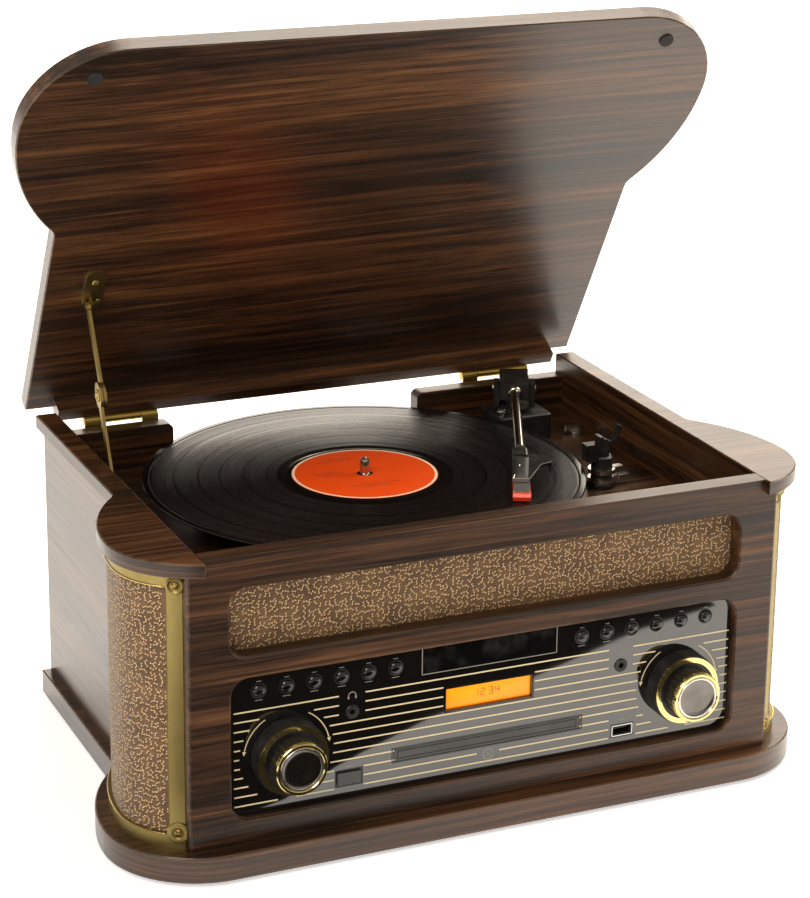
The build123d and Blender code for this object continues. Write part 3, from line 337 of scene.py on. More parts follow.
def fascia_material():
    """Glossy black moulding with a faint depth of haze under the gloss."""
    m = Nodes("fascia_gloss", IOR=2.0, Roughness=0.04, Coat_Weight=0.0)
    p = m.coords()
    haze = m.noise(m.mapping(p, scale=(40, 40, 40)), 1.0, 3.0)
    m.to("Base Color", m.mix(haze, (*srgb("#060606"), 1), (*srgb("#0D0C0C"), 1)))
    m.to("Roughness", m.span(haze, 0.3, 0.7, 0.035, 0.055))
    m.bump(m.noise(m.mapping(p, scale=(8, 8, 8)), 1.0, 1.0), 0.05, 0.0006)
    return m.mat


def display_material():
    m = Nodes("display_glow", Roughness=0.12, IOR=1.5)
    p = m.coords()
    x, z = m.split(p)[0], m.split(p)[2]
    fall = m.span(m.math("ABSOLUTE", m.math("SUBTRACT", x, -0.008)), 0.0, 0.034, 1.0, 0.72)
    dots = m.noise(m.mapping(p, scale=(3000, 3000, 3000)), 1.0, 1.0)
    col = m.mix(m.span(z, 0.083, 0.097), (*srgb("#F58A00"), 1), (*srgb("#F79A10"), 1))
    m.to("Base Color", m.mix(m.span(dots, 0.4, 0.8, 0, 0.08), col, (*srgb("#B05A00"), 1)))
    m.to("Emission Color", col)
    m.to("Emission Strength", m.math("MULTIPLY", fall, 0.62))
    return m.mat


M = {
    "wood_x": wood("walnut_front", 0, 0.0, coat=0.15),
    "wood_lid": wood("walnut_lid", 0, 3.1, rough=0.32, tilt=0.035, coat=0.7),
    "wood_base": wood("walnut_base", 0, 7.7, coat=0.5, banded=True),
    "wood_y": wood("walnut_side", 1, 1.7, coat=0.55),
    "wood_rim": wood("walnut_rim", 0, 5.2, coat=0.3, banded=True),
    "wood_back": wood("walnut_rear", 0, 9.4),
    "deck": wood("walnut_deck", 0, 12.6, tone=0.55, rough=0.42),
    "brass": satin_metal("brass_satin", "#9C8C58", 0.42, 500, None, 0.08),
    "gold": satin_metal("gold_polished", "#DCCB8E", 0.12, 900, None, 0.03, amount=0.06),
    "hinge": satin_metal("brass_hinge", "#C2A95C", 0.33, 700, 0, 0.10),
    "stay": satin_metal("brass_stay", "#A8935A", 0.34, 700, 2, 0.10, amount=0.3),
    "chrome": satin_metal("chrome_tube", "#C9C2B6", 0.14, 900, None, 0.02, "#6A6560", 0.2),
    "steel": satin_metal("bright_steel", "#D6D4CE", 0.22, 900, None, 0.04, "#8A8880", 0.2),
    "cast": satin_metal("cast_platter", "#A9A9A8", 0.35, 1200, None, 0.15, "#7A7A78", 0.3),
    "black": plastic("black_satin", "#141313", 0.42, 1500, 0.20),
    "shell": plastic("black_shell", "#1B1A1A", 0.30, 1100, 0.10),
    "gloss": plastic("black_gloss", "#070707", 0.08, 900, 0.02, coat=0.4),
    "rubber": plastic("rubber_black", "#1A1A1A", 0.75, 900, 0.45),
    "silver": plastic("silver_paint", "#B6B6B4", 0.35, 1500, 0.10, metal=0.6),
    "red": plastic("stylus_red", "#E03A12", 0.28, 900, 0.03, coat=0.3, dust=0.01),
    "ink": plastic("cream_ink", "#D8C8A0", 0.45, 1500, 0.03),
    "grey_ink": plastic("grey_ink", "#8E8A82", 0.45, 1500, 0.03),
    "orange": plastic("label_orange", "#E24A06", 0.7, 2200, 0.06, ior=1.25, dust=0.004),
    "crown": plastic("shell_grain", "#242323", 0.5, 700, 0.5),
    # The rolled beads are real, but their paler brass colour is a painted highlight along the bezel edges.
    "bead": satin_metal("brass_bead_painted_highlight", "#D8C07A", 0.24, 900, None, 0.03, amount=0.08),
    "screw": satin_metal("brass_screw", "#B8A060", 0.26, 900, None, 0.05, "#3A2A10", 0.5),
    "cap": satin_metal("knob_cap", "#77736E", 0.18, 900, None, 0.02, "#2A2826", 0.3),
    "label_text": plastic("label_print_dark", "#7C2404", 0.6, 2200, 0.03),
    "label_ink": plastic("label_cream", "#F0D8B8", 0.55, 2200, 0.05),
    "segments": plastic("display_segments", "#8A2A00", 0.4, 900, 0.01, dust=0.0),
    "board": plastic("fibreboard", "#7B5A3C", 0.85, 500, 0.5, dust=0.05),
    "fascia": fascia_material(),
    "display": display_material(),
    "cloth": cloth_material(),
    "record": record_material(),
}


def paint(node, key):
    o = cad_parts[node]
    o.data.materials.clear()
    o.data.materials.append(M[key])


PAINT = {
    "base_plate": "wood_base", "feet": "rubber", "side_panels": "wood_y", "rim_boards": "wood_rim",
    "rear_wall": "wood_back", "rear_sockets": "black", "front_panel": "wood_x", "deck_plate": "deck",
    "column_bezel_left": "brass", "column_bezel_right": "brass", "grille_cloths": "cloth",
    "grille_baffle": "board", "column_speakers": "black", "fascia": "fascia", "display": "display",
    "front_sockets": "black", "disc_tray": "gloss", "disc_loader": "black", "platter": "cast",
    "mat": "rubber", "record": "record", "arm_base": "black", "arm_turret": "black", "arm_counterweight": "shell",
    "arm_tube": "chrome", "headshell": "shell", "cartridge": "shell", "stylus": "red", "arm_post": "black",
    "arm_clip": "black", "cue_lever": "steel", "lock_lever": "steel", "speed_lever": "steel",
    "auto_stop_switch": "steel", "lid_board": "wood_lid", "lid_batten": "wood_lid", "lid_bumpers": "rubber",
    "hinge_leaves_cabinet": "hinge", "hinge_leaves_lid": "hinge", "stay_bracket": "stay",
    "stay_upper": "stay", "stay_lower": "stay", "stay_foot": "stay", "volume_knob": "black", "tuning_knob": "black",
    "volume_rings": "gold", "tuning_rings": "gold", "power_button": "gloss",
}
for node, key in PAINT.items():
    paint(node, key)
for k in range(1, 13):
    paint(f"button_{k:02d}", "gloss")


# Mesh helpers

def piece(name, verts, faces, body, key, smooth=True, uvs=None):
    """A new mesh piece from points in millimetres, riding on a CAD body."""
    me = bpy.data.meshes.new(name)
    me.from_pydata([tuple(c * MM for c in v) for v in verts], [], faces)
    if uvs is not None:
        layer = me.uv_layers.new(name="metres")
        for poly in me.polygons:
            for li in poly.loop_indices:
                layer.data[li].uv = uvs[me.loops[li].vertex_index]
    me.validate()
    bm = bmesh.new()
    bm.from_mesh(me)
    bmesh.ops.recalc_face_normals(bm, faces=bm.faces)
    bm.to_mesh(me)
    bm.free()
    if smooth:
        me.polygons.foreach_set("use_smooth", [True] * len(me.polygons))
        me.set_sharp_from_angle(angle=radians(35))
    o = bpy.data.objects.new(name, me)
    scene.collection.objects.link(o)
    me.materials.append(M[key])
    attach(o, body)
    return o


class Build:
    """Gathers several closed shapes into one mesh."""

    def __init__(self):
        self.v, self.f = [], []

    def add(self, verts, faces):
        k = len(self.v)
        self.v += [tuple(p) for p in verts]
        self.f += [tuple(i + k for i in face) for face in faces]
        return self

    def lathe(self, profile, origin, axis=(0, 0, 1), seg=48, shape=None):
        """Turns (radius, height) points about an axis; shape(turn, r, h) may bend the height."""
        a = Vector(axis).normalized()
        x = a.orthogonal().normalized()
        y = a.cross(x)
        o = Vector(origin)
        verts, faces, rings = [], [], []
        for r, h in profile:
            if r < 1e-6:
                rings.append([len(verts)])
                verts.append(o + a * h)
                continue
            ring = []
            for k in range(seg):
                t = 2 * pi * k / seg
                hh = shape(t, r, h) if shape else h
                ring.append(len(verts))
                verts.append(o + a * hh + (x * cos(t) + y * sin(t)) * r)
            rings.append(ring)
        for lo, hi in zip(rings, rings[1:]):
            for k in range(seg):
                n = (k + 1) % seg
                if len(lo) == 1 and len(hi) == 1:
                    continue
                if len(lo) == 1:
                    faces.append((lo[0], hi[k], hi[n]))
                elif len(hi) == 1:
                    faces.append((lo[k], lo[n], hi[0]))
                else:
                    faces.append((lo[k], lo[n], hi[n], hi[k]))
        return self.add(verts, faces)

    def prism(self, outline, origin, x, y, depth, inset=0.0):
        """An outline pushed along x cross y, with its far face drawn in by inset for a softened edge."""
        o, x, y = Vector(origin), Vector(x).normalized(), Vector(y).normalized()
        n = x.cross(y).normalized()
        cx = sum(p[0] for p in outline) / len(outline)
        cy = sum(p[1] for p in outline) / len(outline)
        loops = [(0.0, 0.0), (depth - inset, 0.0), (depth, inset)] if inset else [(0.0, 0.0), (depth, 0.0)]
        verts, faces = [], []
        k = len(outline)
        for h, ins in loops:
            for px, py in outline:
                d = hypot(px - cx, py - cy) or 1.0
                s = 1 - ins / d
                verts.append(o + x * (cx + (px - cx) * s) + y * (cy + (py - cy) * s) + n * h)
        faces.append(tuple(range(k)))
        for li in range(len(loops) - 1):
            for i in range(k):
                j = (i + 1) % k
                faces.append((li * k + i, li * k + j, (li + 1) * k + j, (li + 1) * k + i))
        top = (len(loops) - 1) * k
        faces.append(tuple(top + i for i in range(k)))
        return self.add(verts, faces)

    def tube(self, path, radius, seg=10):
        """A round bar along points; radius may be a number or one per point."""
        pts = [Vector(p) for p in path]
        rad = radius if isinstance(radius, (list, tuple)) else [radius] * len(pts)
        verts, faces = [], []
        up = None
        for i, p in enumerate(pts):
            t = (pts[min(i + 1, len(pts) - 1)] - pts[max(i - 1, 0)]).normalized()
            if up is None:
                up = t.orthogonal().normalized()
            up = (up - t * up.dot(t)).normalized()
            side = t.cross(up)
            for k in range(seg):
                a = 2 * pi * k / seg
                verts.append(p + (up * cos(a) + side * sin(a)) * rad[i])
        for i in range(len(pts) - 1):
            for k in range(seg):
                n = (k + 1) % seg
                faces.append((i * seg + k, i * seg + n, (i + 1) * seg + n, (i + 1) * seg + k))
        faces.append(tuple(range(seg)))
        faces.append(tuple((len(pts) - 1) * seg + k for k in range(seg)))
        return self.add(verts, faces)

    def done(self, name, body, key, smooth=True):
        return piece(name, self.v, self.f, body, key, smooth)


def arc_points(cx, cy, r, a0, a1, n):
    return [(cx + r * cos(radians(a0 + (a1 - a0) * k / n)), cy + r * sin(radians(a0 + (a1 - a0) * k / n)))
            for k in range(n + 1)]


def rounded(w, h, r, n=6, cx=0.0, cy=0.0):
    """Outline of a rectangle with round corners."""
    out = []
    for sx, sy, a in ((1, 1, 0), (-1, 1, 90), (-1, -1, 180), (1, -1, 270)):
        out += arc_points(cx + sx * (w / 2 - r), cy + sy * (h / 2 - r), r, a, a + 90, n)
    return out


def cross_dome(radius, slot=0.165, depth=0.6, reach=0.62):
    """Height of a cross-head screw's dome, with the cross sunk into it."""
    def shape(t, r, h):
        if h <= 0:
            return h
        short, long = sorted((abs(r * cos(t)), abs(r * sin(t))))
        return h - depth if short < slot * radius and long < radius * reach else h
    return shape


def screw(build, origin, axis, radius=2.2, height=1.2):
    steps = 12
    profile = [(radius, -0.4), (radius, 0.15)]
    for k in range(1, steps + 1):
        r = radius * (1 - k / steps)
        profile.append((r, 0.15 + (height - 0.15) * sqrt(max(0.0, 1 - (r / radius) ** 2))))
    profile[-1] = (0.0, height * 0.45)
    return build.lathe(profile, origin, axis, 64, cross_dome(radius))


# Grille cloth

COLUMN = dict(front_r=50.0, rear_r=135.0, cx=184.0, rx=99.0, cy=REAR - 253.0)
PANEL_END_X, SIDE_END_X = 205.2, 203.7
CLOTH_LOW, CLOTH_HIGH = 20.2, 201.8


def column_path(side, inset, step=2.0):
    """Points (x, y) round a column at an inset, from its front end to its rear end, with arc lengths."""
    c = COLUMN
    fr, rr = c["front_r"] - inset, c["rear_r"] - inset
    ft = acos((PANEL_END_X - c["cx"]) / fr)
    rt = acos((SIDE_END_X - c["rx"]) / rr)
    pts = []
    n = max(2, int(fr * ft / step))
    for k in range(n + 1):
        a = -ft + ft * k / n
        pts.append((c["cx"] + fr * cos(a), c["cy"] + fr * sin(a)))
    n = max(2, int(rr * rt / step))
    for k in range(1, n + 1):
        a = rt * k / n
        pts.append((c["rx"] + rr * cos(a), c["cy"] + rr * sin(a)))
    out, run = [], 0.0
    for i, (x, y) in enumerate(pts):
        if i:
            run += hypot(x - pts[i - 1][0], y - pts[i - 1][1])
        out.append((side * x, y, run))
    return out


def column_cloth(side, name):
    path = column_path(side, 2.2)
    rows = 30
    verts, faces, uvs = [], [], []
    for x, y, run in path:
        for k in range(rows + 1):
            z = CLOTH_LOW + (CLOTH_HIGH - CLOTH_LOW) * k / rows
            verts.append((x, y, z))
            uvs.append((side * run * MM + 0.5, z * MM))
    w = rows + 1
    for i in range(len(path) - 1):
        for k in range(rows):
            faces.append((i * w + k, (i + 1) * w + k, (i + 1) * w + k + 1, i * w + k + 1))
    o = piece(name, verts, faces, "cabinet", "cloth", True, uvs)
    solid = o.modifiers.new("thickness", "SOLIDIFY")
    solid.thickness = 0.001
    solid.offset = -1
    return o, path[-1][2]


left_cloth, cloth_run = column_cloth(-1, "column_cloth_left")
right_cloth, _ = column_cloth(1, "column_cloth_right")
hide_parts("grille_cloths")

cols, rows = 60, 10
verts, faces, uvs = [], [], []
for i in range(cols + 1):
    for k in range(rows + 1):
        x, z = -184.0 + 368.0 * i / cols, 138.2 + 57.6 * k / rows
        verts.append((x, PANEL_BACK_Y + 0.1, z))
        uvs.append((x * MM, z * MM))
for i in range(cols):
    for k in range(rows):
        a = i * (rows + 1) + k
        faces.append((a, a + rows + 1, a + rows + 2, a + 1))
front_cloth = piece("front_grille_cloth", verts, faces, "cabinet", "cloth", True, uvs)
front_cloth.modifiers.new("thickness", "SOLIDIFY").thickness = 0.0009
front_cloth.modifiers["thickness"].offset = 1
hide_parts("grille_cloths")


# Bezels and screws

BEZEL_SCREW_X, BEAD_INSET = 209.0, -0.15


def bezel_frame(side, z):
    """Place and outward direction of a screw on the column's front strip."""
    reach = BEZEL_SCREW_X - COLUMN["cx"]
    drop = sqrt(COLUMN["front_r"] ** 2 - reach ** 2)
    origin = Vector((side * BEZEL_SCREW_X, COLUMN["cy"] - drop, z))
    axis = Vector((side * reach, -drop, 0)).normalized()
    return origin, axis


screws = Build()
for side in (-1, 1):
    for z, lobe in ((194.0, 6.2), (30.6, 7.4)):
        origin, axis = bezel_frame(side, z)
        cup = Build()
        profile = [(lobe - 0.3, 0.0), (lobe - 0.6, 0.9), (lobe - 1.5, 1.35), (4.0, 1.1), (3.2, 0.3), (0.0, 0.2)]
        cup.lathe(profile, origin - axis * 0.1, axis, 48)
        cup.done(f"bezel_boss_{SIDE_NAMES[side]}_{'top' if z > 100 else 'bottom'}", "cabinet", "brass")
        screw(screws, origin + axis * 0.35, axis, 2.7, 1.5)
    rolled = Build()
    for z in (29.0, 193.0):
        rolled.tube([(x, y, z) for x, y, _ in column_path(side, BEAD_INSET, 3.0) if abs(x) > 214.0], 0.55, 8)
    for step, limit, low, high, radius in ((1.0, 213.6, 38.4, 187.4, 0.55), (0.5, 206.2, 22.0, 199.5, 0.4)):
        x, y, _ = [p for p in column_path(side, BEAD_INSET, step) if abs(p[0]) <= limit][-1]
        rolled.tube([(x, y, z) for z in (low, 60, 110, 160, high)], radius, 8)
    rolled.done(f"bezel_bead_{SIDE_NAMES[side]}", "cabinet", "bead")
screws.done("bezel_screws", "cabinet", "screw")


# Fascia print

FACE = FASCIA_Y - 0.02


def flat_strip(build, x0, z0, x1, z1, width, y=FACE, thick=0.05):
    """A straight bar on the fascia, standing out by its thickness."""
    d = Vector((x1 - x0, 0, z1 - z0))
    n = Vector((-d.z, 0, d.x)).normalized() * width / 2
    a, b = Vector((x0, y, z0)), Vector((x1, y, z1))
    quad = [a - n, b - n, b + n, a + n]
    back = Vector((0, -thick, 0))
    build.add(quad + [q + back for q in quad],
              [(0, 1, 2, 3), (7, 6, 5, 4), (0, 4, 5, 1), (1, 5, 6, 2), (2, 6, 7, 3), (3, 7, 4, 0)])


def frame_strips(build, x0, z0, x1, z1, width, y=FACE, thick=0.05):
    """Four bars round a rectangle."""
    for side in ((x0, z0, x1, z0), (x0, z1, x1, z1), (x0, z0, x0, z1), (x1, z0, x1, z1)):
        flat_strip(build, *side, width, y, thick)


def arc_strip(build, cx, cz, r, a0, a1, width, y=FACE, thick=0.05, n=None):
    n = n or max(6, int(abs(a1 - a0) / 4))
    verts, faces = [], []
    for k in range(n + 1):
        a = radians(a0 + (a1 - a0) * k / n)
        for rr in (r - width / 2, r + width / 2):
            for yy in (y, y - thick):
                verts.append((cx + rr * cos(a), yy, cz + rr * sin(a)))
    for k in range(n):
        p, q = 4 * k, 4 * (k + 1)
        faces += [(p, q, q + 2, p + 2), (p + 1, p + 3, q + 3, q + 1),
                  (p, p + 1, q + 1, q), (p + 2, q + 2, q + 3, p + 3)]
    faces += [(0, 2, 3, 1), (4 * n, 4 * n + 1, 4 * n + 3, 4 * n + 2)]
    build.add(verts, faces)


LINE_WIDTH, LINE_PITCH, LINE_TOP = 0.95, 6.3, 105.4
KNOB_CLEAR, JACK_CLEAR, ARROW_RADIUS = 31.5, 9.0, 28.6
GAPS = [(-66.0, 66.0, 50.4, 65.8), (-32.4, 32.4, 80.6, 99.8),
        (-107.0, -86.8, 42.0, 56.6), (87.4, 108.0, 40.3, 57.2)]
lines = Build()
for k in range(11):
    z = LINE_TOP - LINE_PITCH * k
    cuts = [(lo, hi) for lo, hi, z0, z1 in GAPS if z0 < z < z1]
    for kx, kz, _ in KNOBS:
        if abs(z - kz) < KNOB_CLEAR:
            half = sqrt(KNOB_CLEAR ** 2 - (z - kz) ** 2)
            cuts.append((kx - half, kx + half))
    if 88.0 < z < 108.0:
        cuts += [(s * JACK_X - JACK_CLEAR, s * JACK_X + JACK_CLEAR) for s in (-1, 1)]
    if abs(z - 48.7) < 4.0:
        cuts.append((-8.0, 8.0))
    x = -173.6
    for lo, hi in sorted(cuts):
        if lo > x + 1.0:
            flat_strip(lines, x, z, lo, z, LINE_WIDTH)
        x = max(x, hi)
    if x < 174.0:
        flat_strip(lines, x, z, 175.7, z, LINE_WIDTH)
for kx, kz, name in KNOBS:
    for s in (-1, 1):
        arc_strip(lines, kx, kz, ARROW_RADIUS, 90 + s * 30, 90 + s * 78, 0.7)
        tip = radians(90 + s * 80)
        px, pz = kx + ARROW_RADIUS * cos(tip), kz + ARROW_RADIUS * sin(tip)
        d = Vector((-sin(tip) * s, 0, cos(tip) * s))
        q = Vector((cos(tip), 0, sin(tip)))
        base = Vector((px, FACE, pz))
        tri = [base + d * 2.4, base + q * 1.3 - d * 0.6, base - q * 1.3 - d * 0.6]
        lines.add(tri + [t + Vector((0, -0.05, 0)) for t in tri],
                  [(0, 1, 2), (5, 4, 3), (0, 3, 4, 1), (1, 4, 5, 2), (2, 5, 3, 0)])
lines.done("fascia_lines", "cabinet", "ink", smooth=False)

icons = Build()
arc_strip(icons, -JACK_X, 104.4, 2.5, 0, 180, 0.55, n=14)
for s in (-1, 1):
    icons.prism(rounded(1.1, 2.1, 0.5, 4, -JACK_X + s * 2.5, 103.3), (0, FACE, 0), RIGHT, UP, 0.05)
for x, z in BUTTONS:
    flat_strip(icons, x - 2.6, z - 6.4, x + 2.6, z - 6.4, 0.35)
    flat_strip(icons, x - 1.6, z + 6.2, x + 1.6, z + 6.2, 0.35)
for x, z, w in ((-96.9, 56.6, 5.0), (97.6, 54.6, 4.0), (95.0, 101.0, 4.0)):
    flat_strip(icons, x - w / 2, z, x + w / 2, z, 0.5)
arc_strip(icons, 0.0, 47.4, 3.6, 0, 360, 0.5, n=36)
arc_strip(icons, 0.0, 47.4, 1.1, 0, 360, 0.4, n=20)
icons.done("fascia_marks", "cabinet", "grey_ink", smooth=False)

plate = Build()
frame_strips(plate, -47, 110.9, 47, 129.6, 0.6, thick=0.25)
plate.prism(rounded(93.0, 17.8, 1.0, 4, 0.0, 120.3), (0, FASCIA_Y, 0), RIGHT, UP, 0.12)
plate.done("fascia_plaque", "cabinet", "gloss", smooth=False)
edge = Build()
for x0, z0, x1, z1 in ((-47.4, 110.5, 47.4, 110.5), (-47.4, 110.5, -47.4, 129.9), (47.4, 110.5, 47.4, 129.9)):
    flat_strip(edge, x0, z0, x1, z1, 0.5, thick=0.28)
edge.done("fascia_plaque_edge", "cabinet", "grey_ink", smooth=False)


# Display, sockets, buttons

lens = Build()
lens.prism(rounded(60.4, 14.6, 0.5, 3, 0.0, DISPLAY_Z), (0, FASCIA_Y + 2.6, 0), RIGHT, UP, 0.25)
lens.done("display_window", "cabinet", "display", smooth=False)
frame_lcd = Build()
frame_strips(frame_lcd, -31.2, DISPLAY_Z - 8.3, 31.2, DISPLAY_Z + 8.3, 1.0, thick=0.3)
frame_lcd.done("display_frame", "cabinet", "gloss", smooth=False)
digits = Build()
SEGMENTS = {"a": (0, 1, 1, 1), "b": (1, 1, 1, 0.5), "c": (1, 0.5, 1, 0), "d": (0, 0, 1, 0),
            "e": (0, 0, 0, 0.5), "f": (0, 0.5, 0, 1), "g": (0, 0.5, 1, 0.5)}
SHOWN = ["bc", "abged", "abgcd", "fgbc"]
for k, segs in enumerate(SHOWN):
    x0, z0, w, h = -9.5 + k * 4.6 + (1.2 if k > 1 else 0.0), DISPLAY_Z - 1.6, 2.5, 4.6
    for s in segs:
        a, b, c, d = SEGMENTS[s]
        flat_strip(digits, x0 + a * w, z0 + b * h, x0 + c * w, z0 + d * h, 0.5, FASCIA_Y + 2.32, 0.03)
digits.done("display_digits", "cabinet", "segments", smooth=False)

for s in (-1, 1):
    at = (s * JACK_X, FASCIA_Y, JACK_Z)
    jack = Build()
    profile = [(4.6, 0.0), (4.6, 0.5), (4.2, 0.9), (3.0, 0.9), (2.6, 0.5), (2.0, 0.3), (2.0, -3.0), (0.0, -3.0)]
    jack.lathe(profile, at, FRONT, 40)
    jack.done(f"jack_ring_{SIDE_NAMES[s]}", "cabinet", "shell")
    well = Build()
    well.lathe([(1.95, 0.2), (1.95, -2.8), (0.0, -2.8)], at, FRONT, 24)
    well.done(f"jack_well_{SIDE_NAMES[s]}", "cabinet", "black")

port = Build()
frame_strips(port, 90.2, 43.3, 105.0, 50.5, 0.55, FASCIA_Y, 0.3)
port.done("data_port_rim", "cabinet", "steel", smooth=False)
contacts = Build()
for k in range(4):
    x = 97.6 - 4.2 + 2.8 * k
    flat_strip(contacts, x, 46.9, x, 47.6, 1.1, FASCIA_Y + 4.0, 0.05)
contacts.done("data_port_contacts", "cabinet", "gold", smooth=False)

for k, (x, z) in enumerate(BUTTONS, start=1):
    cap = Build()
    cap.lathe([(3.95, 0.6), (3.9, 1.3), (3.4, 1.85), (2.6, 2.3), (1.6, 2.6), (0.8, 2.72), (0.0, 2.75)],
              (x, FASCIA_Y, z), FRONT, 32)
    cap.done(f"button_dome_{k:02d}", f"button_{k:02d}", "gloss")
    ring = Build()
    ring.lathe([(5.2, 0.0), (5.1, 0.35), (4.5, 0.5), (4.15, 0.2), (4.15, -0.4)], (x, FASCIA_Y, z), FRONT, 32)
    ring.done(f"button_ring_{k:02d}", "cabinet", "black")


# Knobs

KNURL_TEETH, KNURL_TIP, KNURL_ROOT = 72, 24.15, 23.75
for kx, kz, name in KNOBS:
    knurl_y, front_y = FASCIA_Y - 2.9, FASCIA_Y - 25.9
    knurl = Build()
    ring = []
    for k in range(KNURL_TEETH * 2):
        a, r = pi * k / KNURL_TEETH, KNURL_TIP if k % 2 else KNURL_ROOT
        ring.append((kx + r * cos(a), kz + r * sin(a)))
    knurl.prism(ring, (0, knurl_y, 0), RIGHT, UP, 6.5)
    knurl.done(f"{name}_skirt_knurl", name, "black", smooth=False)
    cap = Build()
    cap.lathe([(12.9, 0.3), (12.4, 0.45), (11.6, 0.1), (9.0, 0.05), (5.0, 0.3), (0.0, 0.45)],
              (kx, front_y, kz), FRONT, 72)
    cap.done(f"{name}_cap", name, "cap")
    rim = Build()
    rim.lathe([(14.3, -0.4), (14.3, 0.1), (13.9, 0.5), (13.3, 0.6), (12.8, 0.45), (12.5, 0.0)],
              (kx, front_y, kz), FRONT, 72)
    rim.done(f"{name}_cap_rim", name, "steel")
    mark = Build()
    a = radians(215 if name == "volume" else 62)
    p0, p1 = Vector((cos(a), 0, sin(a))) * 9.2, Vector((cos(a), 0, sin(a))) * 11.4
    flat_strip(mark, kx + p0.x, kz + p0.z, kx + p1.x, kz + p1.z, 0.9, front_y + 0.5, 0.3)
    mark.done(f"{name}_mark", name, "ink", smooth=False)


# Disc drawer front and power key

slot_line = Build()
frame_strips(slot_line, -63.5, 55.6, 63.5, 60.6, 0.45, FASCIA_Y, 0.3)
slot_line.done("drawer_lip", "disc_tray", "shell", smooth=False)
surround = Build()
frame_strips(surround, -67.4, 53.1, 67.4, 62.9, 0.9, FASCIA_Y, 0.12)
surround.done("drawer_surround", "cabinet", "gloss", smooth=False)
key = Build()
frame_strips(key, -105.9, 43.4, -87.9, 54.2, 0.8, FASCIA_Y, 0.25)
key.done("power_surround", "cabinet", "shell", smooth=False)


# Record label

label = Build()
centre = (*PLATTER, RECORD_TOP)
profile = [(3.7, 0.0), (3.7, 0.12), (4.6, 0.14), (15.0, 0.14), (15.4, 0.07), (15.8, 0.14), (49.4, 0.14), (49.8, 0.0)]
label.lathe(profile, centre, UP, 96)
label.done("record_label", "turntable", "orange")
label_edge = Build()
label_edge.lathe([(47.7, 0.145), (47.7, 0.17), (49.5, 0.17), (49.5, 0.145)], centre, UP, 96)
label_edge.done("record_label_edge", "turntable", "label_ink")

# Plain bars where a label has its small print: left end and front edge from the spindle, and length
PRINT_BARS = [(-34, 10, 17), (-33, 7.5, 20), (-32, 5, 15), (-30, 2.5, 18),
              (-18, -22, 34), (-12, -26, 22), (-24, 30, 26), (-14, 34, 12)]
BAR_WIDTH = 0.7
label_print = Build()
for dx, dy, length in PRINT_BARS:
    x, y = PLATTER[0] + dx, PLATTER[1] + dy
    bar = [(x, y), (x + length, y), (x + length, y + BAR_WIDTH), (x, y + BAR_WIDTH)]
    label_print.prism(bar, (0, 0, RECORD_TOP + 0.13), RIGHT, (0, 1, 0), 0.035)
label_print.done("record_label_print", "turntable", "label_text", smooth=False)
spindle = Build()
profile = [(5.6, 0.15), (5.6, 0.5), (4.4, 1.0), (3.42, 1.1), (3.42, 8.3), (2.7, 10.6), (0.8, 11.9), (0.0, 12.0)]
spindle.lathe(profile, centre, UP, 40)
spindle.done("spindle_sleeve", "turntable", "chrome")


# Hinges, stay and lid trim

LEAF_SCREWS = (-19.0, 0.0, 19.0)
LID_OPEN = radians(60)
LID_Y, LID_Z = Vector((0, cos(LID_OPEN), -sin(LID_OPEN))), Vector((0, sin(LID_OPEN), cos(LID_OPEN)))


def lid_point(x, y, z):
    """A point on the open lid, given as it lies when shut: y from the hinge, z above the table."""
    return Vector((x, HINGE[0], HINGE[1])) + LID_Y * y + LID_Z * (z - HINGE[1])


for side in (-1, 1):
    heads = Build()
    for dx in LEAF_SCREWS:
        screw(heads, (side * HINGE_X + dx, REAR + 4.25, 187.0), -FRONT, 2.1, 0.9)
    heads.done(f"hinge_screws_{SIDE_NAMES[side]}", "cabinet", "hinge")
for side in (-1, 1):
    heads = Build()
    for dx in LEAF_SCREWS:
        screw(heads, lid_point(side * HINGE_X + dx, -2.75, 215.0), LID_Y, 2.1, 0.9)
    heads.done(f"hinge_lid_screws_{SIDE_NAMES[side]}", "lid", "hinge")
plate_screws = Build()
screw(plate_screws, lid_point(-178.0, -126.0, 211.0), -LID_Z, 2.4, 1.1)
screw(plate_screws, lid_point(-174.0, -108.5, 211.0), -LID_Z, 1.9, 0.9)
plate_screws.done("stay_bracket_screws", "lid", "stay")


# Tonearm trim, in the arm's own directions: along it, to its right, and up

HEAD_START, HEAD_SLOPE = 160.0, 12.0
arm_turn, head_turn = radians(ARM_ANGLE), radians(HEAD_SLOPE)
ALONG = Vector((-sin(arm_turn), -cos(arm_turn), 0))
ACROSS = Vector((cos(arm_turn), -sin(arm_turn), 0))
HEAD_ALONG = ALONG * cos(head_turn) - UP * sin(head_turn)
HEAD_UP = ALONG * sin(head_turn) + UP * cos(head_turn)


def arm_point(reach, side, height=0.0):
    return Vector(ARM_PIVOT) + ALONG * reach + ACROSS * side + UP * height


def head_point(reach, side, height):
    return arm_point(HEAD_START, 0.0, 3.0) + HEAD_ALONG * reach + ACROSS * side + HEAD_UP * height


